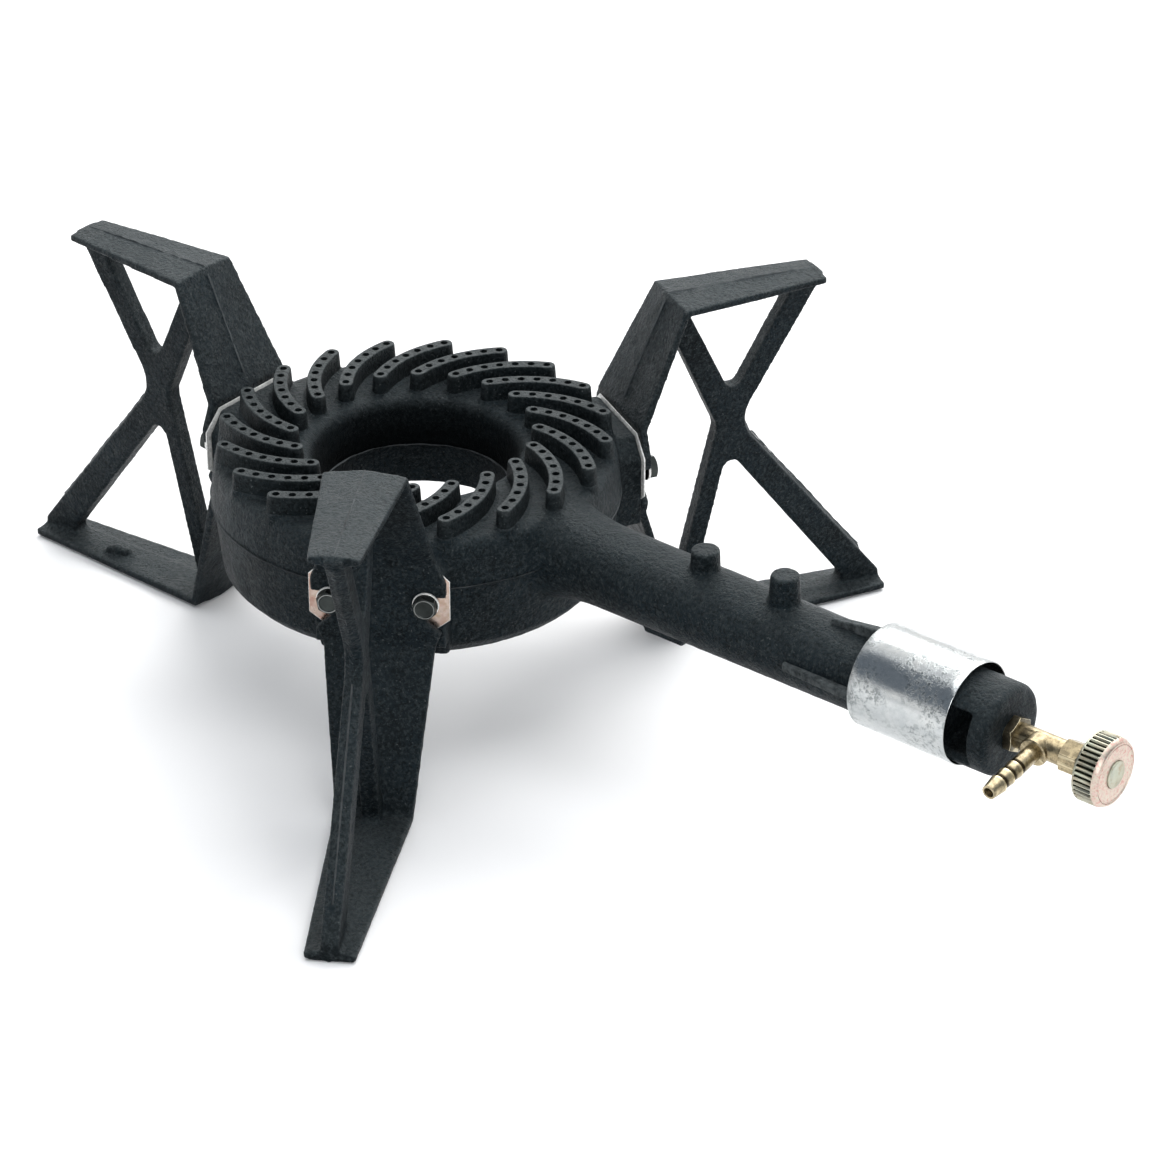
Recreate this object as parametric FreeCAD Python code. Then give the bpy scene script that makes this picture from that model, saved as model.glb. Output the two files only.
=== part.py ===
import FreeCAD, Part
import math
import os

V = FreeCAD.Vector

# All sizes are in millimetres and degrees. +Z is up and +X runs along the gas arm.
# The parts are drawn about the axis of the burner ring and are moved at the end,
# so that the origin lies under the middle of the whole burner, on the floor.

# Heights shared by the castings
leg_height = 236.0
ring_top_z = 163.5
rib_top_z = 176.5
parting_z = 134.0
ring_bottom_z = 83.0
throat_bottom_z = 106.0

# Burner ring
ring_r = 125.8
ring_top_draft = 3.2
ring_side_draft = 5.3
ring_shoulder_round = 7.5
ring_side_bottom_z = 92.0
ring_floor_bevel = 8.5
throat_r = 58.6
throat_top_r = 62.5
throat_top_round = 9.5
throat_bottom_r = 61.5
ring_wall = 5.0

# Curved ribs with the gas ports
rib_count = 20
rib_phase_deg = -3.0
rib_sweep_deg = 25.5
rib_outer_port_inset = 9.3
rib_inner_port_r = 76.0
rib_arc_r = 75.0
rib_top_width = 8.8
rib_base_width = 12.6
rib_base_depth = 13.0
rib_end_past_port = 0.8
rib_side_flats = 4
ports_per_rib = 7
port_flats = 4.5
port_sides = 6

# Bolt pads on the side of the ring
leg_phase_deg = 2.7
boss_stands_out = 8.2
boss_root_depth = 38.2
boss_side_inset = 3.0
boss_top_inset = 1.0
boss_bottom_z = 101.0
boss_toe_z = 90.0
boss_toe_depth = 12.0
boss_edge_round = 2.0
bolt_spacing = 57.0
bolt_hole_depth = 11.4

# Gas arm
arm_z = 135.5
arm_root_x = 112.0
arm_root_r = 34.0
arm_root_drop = 0.8
arm_flare_middle_x = 132.0
arm_flare_middle_r = 27.6
arm_flare_end_x = 160.0
arm_near_r = 25.2
arm_far_r = 24.0
arm_neck_end_x = 372.0
arm_bore_r = 18.5
arm_bore_start_x = 92.0
head_start_x = 384.0
head_end_x = 445.0
head_r = 27.6
head_bore_r = 22.0
head_bore_start_x = 392.0
head_bore_taper = 6.0
head_wall = 12.0
head_end_round = 5.0
window_start_x = 403.0
window_half_angle_deg = 38.0
stem_hole_r = 7.05

# Round posts on top of the arm
post_1_x = 226.5
post_1_top_z = 173.6
post_1_top_r = 8.5
post_1_base_r = 9.1
post_2_x = 284.7
post_2_top_z = 177.8
post_2_top_r = 8.6
post_2_base_r = 10.4
post_top_chamfer = 0.8
post_root_depth = 12.0

# Cast lug below the arm
lug_start_x = 178.0
lug_end_x = 218.0
lug_depth = 7.5
lug_width = 8.0
lug_taper = 6.0
arm_root_sink = 2.0

# Guide ribs that carry the air sleeve
guide_width = 5.0
guide_top_start_x = 320.0
guide_side_start_x = 304.0
guide_start_step = 1.4
guide_full_x = 350.0
guide_end_x = 399.0

# Air sleeve
sleeve_start_x = 353.2
sleeve_length = 66.6
sleeve_r = 31.0
sleeve_sheet = 0.8
sleeve_lift = 2.0
sleeve_clearance = 0.3

# Legs: the outer skin of the flange, as seen from the side of a leg
leg_tip_r = 269.0
leg_crease_r = 167.5
leg_slope_end_z = 163.0
leg_pad_square = 13.0
leg_pad_low_z = 104.0
leg_kink_r = 167.5
leg_foot_r = 318.0
leg_tip_half_width = 15.0
leg_crease_half_width = 24.5
leg_slope_end_half_width = 34.0
leg_pad_half_width = 40.3
leg_pad_low_half_width = 33.5
leg_kink_half_width = 23.5
leg_foot_half_width = 15.0
flange_edge = 4.5
flange_middle = 7.5
flange_slope = 0.09
flange_pad = 5.0
ridge_half_width = 1.5
web_thickness = 11.0
slot_width = 9.0
slot_drop = 12.0
slot_flare = 20.0

# Legs: the lines of the X-shaped web, each through two points (radius, height)
web_upper_outer = ((268.4, 228.2), (223.0, 153.6))
web_lower_outer = ((224.0, 128.3), (305.0, 27.0))
web_upper_inner = ((175.8, 193.8), (199.8, 140.4))
web_lower_inner = ((198.9, 133.0), (181.0, 60.0))
web_upper_hole_left = ((182.8, 215.7), (204.8, 169.8))
web_upper_hole_right = ((247.6, 222.6), (215.3, 166.1))
web_lower_hole_left = ((205.0, 110.0), (184.0, 22.0))
web_lower_hole_right = ((216.5, 110.0), (280.0, 27.0))
web_crotch_round = 6.5
web_corner_round = 4.0
web_notch_round = 22.0
web_node_round = 12.0
web_toe_chamfer = 9.0
web_toe_round = 3.0
web_toe_inset = 0.5
web_top_corner_in = 4.0
web_top_corner_drop = 16.0

# Shield plates between the ring and the legs
plate_half_width = 42.0
plate_bottom_z = 111.0
plate_top_z = 159.5
plate_sheet = 1.0
plate_corner_width = 13.0
plate_top_corner_height = 12.5
plate_bottom_corner_height = 10.5

# Leg bolts and washers
bolt_r = 4.0
bolt_head_flats = 13.0
bolt_head_height = 5.3
bolt_engaged = 10.8
washer_r = 8.0
washer_hole_r = 4.2
washer_thickness = 1.6
thread_clearance = 0.05
part_clearance = 0.3

# Gas valve, along the axis of the arm
lock_nut_flats = 19.5
lock_nut_length = 5.6
lock_nut_chamfer = 1.2
stem_r = 7.0
stem_inside = 2.0
stem_chamfer = 0.8
valve_body_r = 7.6
valve_body_end_x = 481.0
gland_thread_r = 6.5
gland_thread_length = 7.0
valve_bore_r = 3.2
seat_r = 1.5
seat_x = 456.0
branch_x = 465.0
branch_dip_deg = 8.0
branch_r = 8.6
branch_reach = 9.5
branch_chamfer = 0.6
branch_bore_r = 3.0
gland_flats = 18.0
gland_chamfer = 1.4
gland_hex_end_x = 493.0
gland_end_x = 495.0
gland_neck_r = 6.8
packing_length = 2.6
running_clearance = 0.05

# Gas jet inside the head
jet_thread_r = 3.0
jet_thread_length = 6.0
jet_hex_flats = 8.0
jet_hex_chamfer = 0.5
jet_hex_length = 4.0
jet_nose_length = 7.0
jet_nose_r = 2.2
jet_nose_base_r = 3.6
jet_hole_r = 0.6

# Hose nozzle
nozzle_thread_r = 4.4
nozzle_thread_length = 5.0
nozzle_shank_r = 5.1
nozzle_crest_r = 5.5
nozzle_groove_r = 4.1
nozzle_groove_width = 1.2
nozzle_land_r = 4.7
nozzle_first_crest = 25.8
nozzle_crest_pitch = 7.8
nozzle_crest_count = 3
nozzle_tip = 51.0
nozzle_tip_r = 4.2
nozzle_bore_r = 3.0

# Spindle
spindle_tip_r = 0.6
spindle_needle_r = 2.0
spindle_needle_length = 3.2
spindle_needle_depth = 1.8
spindle_thread_r = 3.15
spindle_thread_start_x = 473.0
spindle_thread_end_x = 484.0
spindle_r = 2.5
spindle_end_x = 509.0

# Control knob
knob_back_x = 498.0
knob_length = 15.6
knob_r = 20.5
knob_face_r = 18.6
knob_face_slope = 2.0
knob_back_rim = 1.4
knob_front_rim = 3.4
knob_recess_r = 13.5
knob_recess_depth = 6.0
flute_count = 40
flute_depth = 1.5
flute_width = 2.0
dial_r = 17.2
dial_clearance = 0.1
dial_hole_r = 8.4
dial_thickness = 0.6
cap_r = 8.2
cap_height = 1.5
cap_chamfer = 0.6

# Sizes that follow from the ones above
ring_shoulder_r = ring_r - ring_top_draft
ring_side_bottom_r = ring_r - ring_side_draft
ring_floor_r = ring_side_bottom_r - ring_floor_bevel
rib_outer_port_r = ring_r - rib_outer_port_inset
boss_face_r = ring_r + boss_stands_out
pad_back_r = boss_face_r + plate_sheet
pad_front_r = pad_back_r + flange_pad
bolt_seat_r = pad_front_r + washer_thickness
slot_r = slot_width / 2
sleeve_end_x = sleeve_start_x + sleeve_length
sleeve_axis_z = arm_z + sleeve_lift
stem_x = head_end_x - head_wall - stem_inside
valve_shoulder_x = head_end_x + lock_nut_length
gland_thread_end_x = valve_body_end_x + gland_thread_length
gland_bore_r = gland_thread_r + thread_clearance
spindle_hole_r = spindle_r + running_clearance
knob_front_x = knob_back_x + knob_length


def polar(radius, angle_deg, z=0.0):
    a = math.radians(angle_deg)
    return V(radius * math.cos(a), radius * math.sin(a), z)


def line_x(line, z):
    (x0, z0), (x1, z1) = line
    return x0 + (x1 - x0) * (z - z0) / (z1 - z0)


def cross_point(line_a, line_b):
    (x1, y1), (x2, y2) = line_a
    (x3, y3), (x4, y4) = line_b
    d = (x1 - x2) * (y3 - y4) - (y1 - y2) * (x3 - x4)
    a = x1 * y2 - y1 * x2
    b = x3 * y4 - y3 * x4
    return ((a * (x3 - x4) - (x1 - x2) * b) / d, (a * (y3 - y4) - (y1 - y2) * b) / d)


def unit(x, y):
    length = math.hypot(x, y)
    return (x / length, y / length)


def rounded_corner(before, corner, after, radius):
    """Start, middle and end of the arc that rounds one corner of a plane outline."""
    d1 = unit(before[0] - corner[0], before[1] - corner[1])
    d2 = unit(after[0] - corner[0], after[1] - corner[1])
    half = math.acos(max(-1.0, min(1.0, d1[0] * d2[0] + d1[1] * d2[1]))) / 2
    run = radius / math.tan(half)
    bis = unit(d1[0] + d2[0], d1[1] + d2[1])
    deep = radius / math.sin(half) - radius
    start = (corner[0] + d1[0] * run, corner[1] + d1[1] * run)
    middle = (corner[0] + bis[0] * deep, corner[1] + bis[1] * deep)
    end = (corner[0] + d2[0] * run, corner[1] + d2[1] * run)
    return start, middle, end


def outline_face(points, radii, place):
    """Plane face with rounded corners; place turns a plane point into a vector."""
    count = len(points)
    arcs = []
    for i in range(count):
        if radii[i] > 0:
            arcs.append(rounded_corner(points[i - 1], points[i], points[(i + 1) % count], radii[i]))
        else:
            arcs.append((points[i], None, points[i]))
    edges = []
    for i in range(count):
        start, middle, end = [place(*p) if p else None for p in arcs[i]]
        if middle is not None:
            edges.append(Part.Arc(start, middle, end).toShape())
        following = place(*arcs[(i + 1) % count][0])
        if end.distanceToPoint(following) > 1e-6:
            edges.append(Part.LineSegment(end, following).toShape())
    return Part.Face(Part.Wire(edges))


def inset(points, wall):
    """The same outline with every side moved inwards by the wall (points anticlockwise)."""
    count = len(points)
    sides = []
    for i in range(count):
        p = points[i]
        q = points[(i + 1) % count]
        d = unit(q[0] - p[0], q[1] - p[1])
        shift = (-d[1] * wall, d[0] * wall)
        sides.append(((p[0] + shift[0], p[1] + shift[1]), (q[0] + shift[0], q[1] + shift[1])))
    return [cross_point(sides[i - 1], sides[i]) for i in range(count)]


def side_faces(low, high):
    """Faces between two outlines with the same number of points."""
    faces = []
    for i in range(len(low)):
        a, b, c, d = low[i - 1], low[i], high[i], high[i - 1]
        normal = (b - a).cross(d - a)
        normal.normalize()
        if abs((c - a).dot(normal)) < 1e-6:
            faces.append(Part.Face(Part.makePolygon([a, b, c, d, a])))
        else:
            faces.append(Part.Face(Part.makePolygon([a, b, c, a])))
            faces.append(Part.Face(Part.makePolygon([a, c, d, a])))
    return faces


def skinned(sections):
    """Solid with flat sides through a row of plane outlines."""
    faces = []
    for points in (sections[0], sections[-1]):
        faces.append(Part.Face(Part.makePolygon(points + [points[0]])))
    for low, high in zip(sections, sections[1:]):
        faces += side_faces(low, high)
    solid = Part.makeSolid(Part.makeShell(faces))
    if solid.Volume < 0:
        solid.reverse()
    return solid


def turned(points, radii, origin, along):
    """Solid turned about an axis; points are (distance along the axis, radius)."""
    axis = V(*along)
    axis.normalize()
    side = axis.cross(V(0, 0, 1))
    if side.Length < 0.01:
        side = V(1, 0, 0)
    side.normalize()
    start = V(*origin)
    face = outline_face(points, radii, lambda a, r: start + axis * a + side * r)
    return face.revolve(start, axis, 360)


def arm_turned(points, radii=None):
    """Solid turned about the axis of the arm; points are (x, radius)."""
    return turned(points, radii or [0] * len(points), (0, 0, arm_z), (1, 0, 0))


def rod_x(radius, x0, x1, z=arm_z):
    return Part.makeCylinder(radius, x1 - x0, V(x0, 0, z), V(1, 0, 0))


def hexagon(flats):
    """Six corners of a hexagon; the first one is straight up."""
    r = flats / math.sqrt(3)
    turns = [math.pi * k / 3 for k in range(6)]
    return [(r * math.sin(a), r * math.cos(a)) for a in turns]


def hex_x(flats, x0, x1, chamfer):
    """Hexagon bar along the arm axis with chamfered corners."""
    r = flats / math.sqrt(3)
    corners = [V(x0, y, arm_z + z) for y, z in hexagon(flats)]
    bar = Part.Face(Part.makePolygon(corners + [corners[0]])).extrude(V(x1 - x0, 0, 0))
    run = chamfer / 2
    limit = arm_turned([(x0, 0), (x0, r - chamfer), (x0 + run, r), (x1 - run, r), (x1, r - chamfer),
                        (x1, 0)])
    return bar.common(limit)


# ---------------------------------------------------------------- burner casting

def ring_outline():
    points = [(ring_floor_r, ring_bottom_z), (ring_side_bottom_r, ring_side_bottom_z),
              (ring_r, parting_z), (ring_shoulder_r, ring_top_z), (throat_top_r, ring_top_z),
              (throat_r, parting_z), (throat_bottom_r, throat_bottom_z)]
    radii = [0, 0, 0, ring_shoulder_round, throat_top_round, 0, 0]
    return points, radii


def ring_solid():
    points, radii = ring_outline()
    face = outline_face(points, radii, lambda r, z: V(r, 0, z))
    return face.revolve(V(0, 0, 0), V(0, 0, 1), 360)


def ring_chamber():
    points, radii = ring_outline()
    inner = inset(points, ring_wall)
    face = outline_face(inner, [0] * len(inner), lambda r, z: V(r, 0, z))
    return face.revolve(V(0, 0, 0), V(0, 0, 1), 360)


def rib_arc():
    """Centre of the arc of one rib, and its angles at the outer and inner ports."""
    outer = polar(rib_outer_port_r, 0)
    inner = polar(rib_inner_port_r, rib_sweep_deg)
    chord = inner - outer
    middle = (outer + inner) * 0.5
    normal = V(chord.y, -chord.x, 0)
    normal.normalize()
    sagging = math.sqrt(rib_arc_r ** 2 - (chord.Length / 2) ** 2)
    centre = middle - normal * sagging
    a0 = math.atan2(outer.y - centre.y, outer.x - centre.x)
    a1 = math.atan2(inner.y - centre.y, inner.x - centre.x)
    return centre, a0, a1


def rib_outline(half_width, z):
    """Outline of a rib at one height: an arc in a few flats, with blunt ends."""
    centre, a0, a1 = rib_arc()
    past = rib_end_past_port / rib_arc_r
    start = a0 - past
    sweep = a1 - a0 + 2 * past

    def at(radius, angle, along):
        x = centre.x + radius * math.cos(angle) - along * math.sin(angle)
        y = centre.y + radius * math.sin(angle) + along * math.cos(angle)
        return V(x, y, z)

    steps = [start + sweep * k / rib_side_flats for k in range(rib_side_flats + 1)]
    blunt = half_width * math.tan(math.radians(22.5))
    points = [at(rib_arc_r + half_width, a, 0) for a in steps]
    points.append(at(rib_arc_r + blunt, steps[-1], half_width))
    points.append(at(rib_arc_r - blunt, steps[-1], half_width))
    points += [at(rib_arc_r - half_width, a, 0) for a in reversed(steps)]
    points.append(at(rib_arc_r - blunt, start, -half_width))
    points.append(at(rib_arc_r + blunt, start, -half_width))
    return points


def rib_solid():
    base = rib_outline(rib_base_width / 2, ring_top_z - rib_base_depth)
    return skinned([base, rib_outline(rib_top_width / 2, rib_top_z)])


def rib_ports():
    """Gas ports through one rib, each with a few flat sides in place of a round wall."""
    centre, a0, a1 = rib_arc()
    low = ring_top_z - rib_base_depth
    corner_r = port_flats / 2 / math.cos(math.pi / port_sides)
    ports = []
    for k in range(ports_per_rib):
        a = a0 + (a1 - a0) * k / (ports_per_rib - 1)
        x = centre.x + rib_arc_r * math.cos(a)
        y = centre.y + rib_arc_r * math.sin(a)
        turn = 2 * math.pi / port_sides
        corners = [V(x + corner_r * math.cos(a + turn * (j + 0.5)),
                     y + corner_r * math.sin(a + turn * (j + 0.5)), low) for j in range(port_sides)]
        face = Part.Face(Part.makePolygon(corners + [corners[0]]))
        ports.append(face.extrude(V(0, 0, rib_top_z - low + 1)))
    return ports


def around(shape, angle):
    turned_shape = shape.copy()
    turned_shape.rotate(V(0, 0, 0), V(0, 0, 1), angle)
    return turned_shape


def rib_angles():
    return [rib_phase_deg + 360.0 * k / rib_count for k in range(rib_count)]


def leg_angles():
    return {"front": leg_phase_deg - 60, "right": leg_phase_deg + 60, "left": leg_phase_deg + 180}


def octagon(half_width, z0, z1, corner_width, low_corner, high_corner):
    """Outline with four cut corners, as points (sideways, height)."""
    inner = half_width - corner_width
    return [(-half_width, z0 + low_corner), (-inner, z0), (inner, z0), (half_width, z0 + low_corner),
            (half_width, z1 - high_corner), (inner, z1), (-inner, z1), (-half_width, z1 - high_corner)]


def boss_solid():
    """Pad on the side of the ring that one leg is bolted to; it follows the shield plate."""
    half_width = plate_half_width - boss_side_inset
    top_z = plate_top_z - boss_top_inset
    back_r = boss_face_r - boss_root_depth
    points = [(back_r, boss_toe_z), (boss_face_r - boss_toe_depth, boss_toe_z),
              (boss_face_r, boss_bottom_z), (boss_face_r, top_z), (back_r, top_z)]
    rounds = [0, 0, 0, boss_edge_round, 0]
    side = outline_face(points, rounds, lambda r, z: V(r, -half_width, z))
    block = side.extrude(V(0, 2 * half_width, 0))
    front = octagon(half_width, boss_toe_z, top_z, plate_corner_width - boss_side_inset, 0,
                    plate_top_corner_height)
    front = front[:1] + front[3:]
    face = outline_face(front, [0] * len(front), lambda y, z: V(back_r, y, z))
    return block.common(face.extrude(V(boss_root_depth, 0, 0)))


def bolt_holes():
    holes = []
    for side in (-1, 1):
        start = V(boss_face_r - bolt_hole_depth, side * bolt_spacing / 2, parting_z)
        holes.append(Part.makeCylinder(bolt_r + thread_clearance, bolt_hole_depth + 1, start, V(1, 0, 0)))
    return holes


def arm_outside():
    points = [(arm_root_x, 0), (arm_root_x, arm_near_r), (arm_flare_end_x, arm_near_r),
              (arm_neck_end_x, arm_far_r), (head_start_x, head_r), (head_end_x, head_r),
              (head_end_x, 0)]
    return arm_turned(points, [0, 0, 0, 0, 0, head_end_round, 0])


def arm_flare():
    """Wide root of the arm, cut off level with the top of the ring."""
    points = [(arm_root_x, 0), (arm_root_x, arm_root_r), (arm_flare_middle_x, arm_flare_middle_r),
              (arm_flare_end_x, arm_near_r), (arm_flare_end_x, 0)]
    cone = arm_turned(points)
    size = 2 * arm_root_r
    corner = V(arm_root_x, -arm_root_r, ring_top_z - arm_root_drop - size)
    return cone.common(Part.makeBox(arm_flare_end_x - arm_root_x, size, size, corner))


def arm_inside():
    head_inner_x = head_end_x - head_wall
    points = [(arm_bore_start_x, 0), (arm_bore_start_x, arm_bore_r),
              (head_bore_start_x - head_bore_taper, arm_bore_r), (head_bore_start_x, head_bore_r),
              (head_inner_x, head_bore_r), (head_inner_x, 0)]
    bore = arm_turned(points)
    return bore.fuse(rod_x(stem_hole_r, head_inner_x - 1, head_end_x + 1))


def air_windows():
    """The two openings in the sides of the head that let the air in."""
    a = math.radians(window_half_angle_deg)
    reach = 2 * head_r
    length = head_end_x - head_wall - window_start_x
    cuts = []
    for side in (-1, 1):
        corners = [V(window_start_x, 0, arm_z),
                   V(window_start_x, side * reach * math.cos(a), arm_z + reach * math.sin(a)),
                   V(window_start_x, side * reach * math.cos(a), arm_z - reach * math.sin(a))]
        face = Part.Face(Part.makePolygon(corners + [corners[0]]))
        cuts.append(face.extrude(V(length, 0, 0)))
    return cuts


def post(x, top_z, top_r, base_r):
    """Plain round post standing on the arm."""
    arm_top_z = arm_z + arm_far_r
    low_z = arm_top_z - post_root_depth
    slope = (base_r - top_r) / (top_z - arm_top_z)
    edge = post_top_chamfer
    points = [(low_z, 0), (low_z, base_r + slope * post_root_depth), (top_z - edge, top_r),
              (top_z, top_r - edge), (top_z, 0)]
    return turned(points, [0] * len(points), (x, 0, 0), (0, 0, 1))


def arm_lug():
    low = arm_z - arm_near_r - lug_depth
    high = arm_z - arm_bore_r - arm_root_sink
    points = [(lug_start_x, high), (lug_start_x + lug_taper, low), (lug_end_x - lug_taper, low),
              (lug_end_x, high)]
    face = outline_face(points, [0] * len(points), lambda x, z: V(x, -lug_width / 2, z))
    return face.extrude(V(0, lug_width, 0))


def guide_ribs():
    """Four ramps along the arm that hold the air sleeve clear of the casting."""
    low = arm_bore_r + arm_root_sink
    high = sleeve_r + sleeve_lift
    ribs = []
    for quarter in range(4):
        start = guide_side_start_x if quarter % 2 else guide_top_start_x
        points = [(start, low), (start, arm_far_r + guide_start_step), (guide_full_x, high),
                  (guide_end_x, high), (guide_end_x, low)]
        face = outline_face(points, [0] * len(points), lambda x, r: V(x, -guide_width / 2, arm_z + r))
        rib = face.extrude(V(0, guide_width, 0))
        rib.rotate(V(0, 0, arm_z), V(1, 0, 0), 90 * quarter)
        ribs.append(rib)
    limit_r = sleeve_r - sleeve_sheet - sleeve_clearance
    limit = rod_x(limit_r, guide_side_start_x - 1, guide_end_x + 1, sleeve_axis_z)
    return [rib.common(limit) for rib in ribs]


def burner_casting():
    """Ring, ribs, bolt pads and gas arm in one hollow iron casting."""
    rib = rib_solid()
    ports = rib_ports()
    boss = boss_solid()
    holes = bolt_holes()
    outside = [arm_outside(), arm_flare(), arm_lug()] + guide_ribs()
    outside.append(post(post_1_x, post_1_top_z, post_1_top_r, post_1_base_r))
    outside.append(post(post_2_x, post_2_top_z, post_2_top_r, post_2_base_r))
    cuts = []
    for angle in leg_angles().values():
        outside.append(around(boss, angle))
        cuts += [around(hole, angle) for hole in holes]
    for angle in rib_angles():
        outside.append(around(rib, angle))
        cuts += [around(port, angle) for port in ports]
    solid = ring_solid().fuse(outside)
    throat = Part.makeCylinder(throat_r, leg_height)
    solid = solid.cut(throat)
    solid = solid.cut([ring_chamber(), arm_inside()] + air_windows())
    solid = solid.cut(cuts)
    return solid.removeSplitter()


# ---------------------------------------------------------------- legs

def flange_stations():
    """Stations along the flange: radius, height, half width, slope, edge and middle thickness."""
    thin = (flange_slope, flange_edge, flange_middle)
    flat = (0.0, flange_pad, flange_pad)
    return [
        (leg_tip_r, leg_height, leg_tip_half_width) + thin,
        (leg_crease_r, leg_height, leg_crease_half_width) + thin,
        (pad_back_r, leg_slope_end_z, leg_slope_end_half_width) + flat,
        (pad_back_r, parting_z + leg_pad_square, leg_pad_half_width) + flat,
        (pad_back_r, parting_z - leg_pad_square, leg_pad_half_width) + flat,
        (pad_back_r, leg_pad_low_z, leg_pad_low_half_width) + flat,
        (leg_kink_r, 0.0, leg_kink_half_width) + thin,
        (leg_foot_r, 0.0, leg_foot_half_width) + thin]


def flange_section(stations, i):
    """Cross section of the flange in the mitre plane of one station."""
    r, z, half, slope, edge, middle = stations[i]
    normals = []
    for a, b in ((i - 1, i), (i, i + 1)):
        if a >= 0 and b < len(stations):
            d = unit(stations[b][0] - stations[a][0], stations[b][1] - stations[a][1])
            normals.append((-d[1], d[0]))
    n0 = normals[0]
    n1 = normals[-1]
    scale = 1 + n0[0] * n1[0] + n0[1] * n1[1]
    mitre = ((n0[0] + n1[0]) / scale, (n0[1] + n1[1]) / scale)
    ridge = ridge_half_width
    rise = slope * (half - ridge)
    spots = [(-ridge, 0), (ridge, 0), (half, rise), (half, rise + edge),
             (ridge, middle), (-ridge, middle), (-half, rise + edge), (-half, rise)]
    return [V(r + mitre[0] * depth, s, z + mitre[1] * depth) for s, depth in spots]


def leg_flange():
    stations = flange_stations()
    return skinned([flange_section(stations, i) for i in range(len(stations))])


def leg_web():
    """X-shaped web with its two triangular openings."""
    top = leg_height - flange_edge / 2
    low = flange_edge / 2
    corner_top = leg_height - web_top_corner_drop
    node_right = cross_point(web_upper_outer, web_lower_outer)
    node_left = cross_point(web_upper_inner, web_lower_inner)
    toe_z = low + web_toe_chamfer
    points = [(line_x(web_upper_outer, top), top), node_right, (line_x(web_lower_outer, toe_z), toe_z),
              (leg_foot_r - web_toe_inset, low), (line_x(web_lower_inner, low), low), node_left,
              (line_x(web_upper_inner, corner_top), corner_top), (leg_crease_r + web_top_corner_in, top)]
    radii = [0, web_notch_round, web_toe_round, 0, 0, web_node_round, 0, 0]
    face = outline_face(points, radii, lambda r, z: V(r, -web_thickness / 2, z))
    web = face.extrude(V(0, web_thickness, 0))
    flange_under = leg_height - flange_middle
    hole_top = [(line_x(web_upper_hole_left, flange_under), flange_under),
                cross_point(web_upper_hole_left, web_upper_hole_right),
                (line_x(web_upper_hole_right, flange_under), flange_under)]
    hole_low = [(line_x(web_lower_hole_left, flange_middle), flange_middle),
                (line_x(web_lower_hole_right, flange_middle), flange_middle),
                cross_point(web_lower_hole_left, web_lower_hole_right)]
    cuts = []
    corner = web_corner_round
    for hole, rounds in ((hole_top, [corner, web_crotch_round, corner]),
                         (hole_low, [corner, corner, web_crotch_round])):
        face = outline_face(hole, rounds, lambda r, z: V(r, -web_thickness, z))
        cuts.append(face.extrude(V(0, 2 * web_thickness, 0)))
    return web.cut(cuts)


def leg_slots():
    """Side notches in the pad that let the leg be hung on the two loosened bolts."""
    start_r = pad_back_r - flange_pad
    depth = 3 * flange_pad
    out = leg_pad_half_width + slot_width
    slots = []
    for side in (-1, 1):
        y = bolt_spacing / 2
        hole = Part.makeCylinder(slot_r, depth, V(start_r, side * y, parting_z), V(1, 0, 0))
        points = [(y, parting_z + slot_r), (y, parting_z - slot_drop),
                  (out, parting_z - slot_drop - slot_flare), (out, parting_z + slot_r)]
        face = outline_face(points, [0] * len(points), lambda s, z: V(start_r, side * s, z))
        slots.append(hole.fuse(face.extrude(V(depth, 0, 0))))
    return slots


def leg_solid():
    return leg_flange().fuse(leg_web()).cut(leg_slots()).removeSplitter()


def shield_plate():
    """Thin sheet between the ring and one leg, with a hole for each bolt."""
    points = octagon(plate_half_width, plate_bottom_z, plate_top_z, plate_corner_width,
                     plate_bottom_corner_height, plate_top_corner_height)
    face = outline_face(points, [0] * len(points), lambda y, z: V(boss_face_r, y, z))
    plate = face.extrude(V(plate_sheet, 0, 0))
    for y in (-bolt_spacing / 2, bolt_spacing / 2):
        start = V(boss_face_r - plate_sheet, y, parting_z)
        plate = plate.cut(Part.makeCylinder(slot_r, 3 * plate_sheet, start, V(1, 0, 0)))
    return plate


def washer(y):
    start = V(pad_front_r, y, parting_z)
    disc = Part.makeCylinder(washer_r, washer_thickness, start, V(1, 0, 0))
    return disc.cut(Part.makeCylinder(washer_hole_r, washer_thickness, start, V(1, 0, 0)))


def leg_bolt(y):
    """Hexagon bolt, its axis pointing at the ring."""
    corners = [V(bolt_seat_r, y + side, parting_z + up) for up, side in hexagon(bolt_head_flats)]
    head = Part.Face(Part.makePolygon(corners + [corners[0]])).extrude(V(bolt_head_height, 0, 0))
    tip = boss_face_r - bolt_engaged
    return head.fuse(Part.makeCylinder(bolt_r, bolt_seat_r - tip, V(tip, y, parting_z), V(1, 0, 0)))


# ---------------------------------------------------------------- air sleeve and valve

def air_sleeve():
    outer = rod_x(sleeve_r, sleeve_start_x, sleeve_end_x, sleeve_axis_z)
    return outer.cut(rod_x(sleeve_r - sleeve_sheet, sleeve_start_x - 1, sleeve_end_x + 1, sleeve_axis_z))


def lock_nut():
    nut = hex_x(lock_nut_flats, head_end_x, valve_shoulder_x, lock_nut_chamfer)
    return nut.cut(rod_x(stem_hole_r, head_end_x - 1, valve_shoulder_x + 1))


def branch_direction():
    a = math.radians(branch_dip_deg)
    return (0, -math.cos(a), -math.sin(a))


def branch_turned(points, radii=None):
    """Solid turned about the branch of the valve; points are (distance, radius)."""
    return turned(points, radii or [0] * len(points), (branch_x, 0, arm_z), branch_direction())


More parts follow.
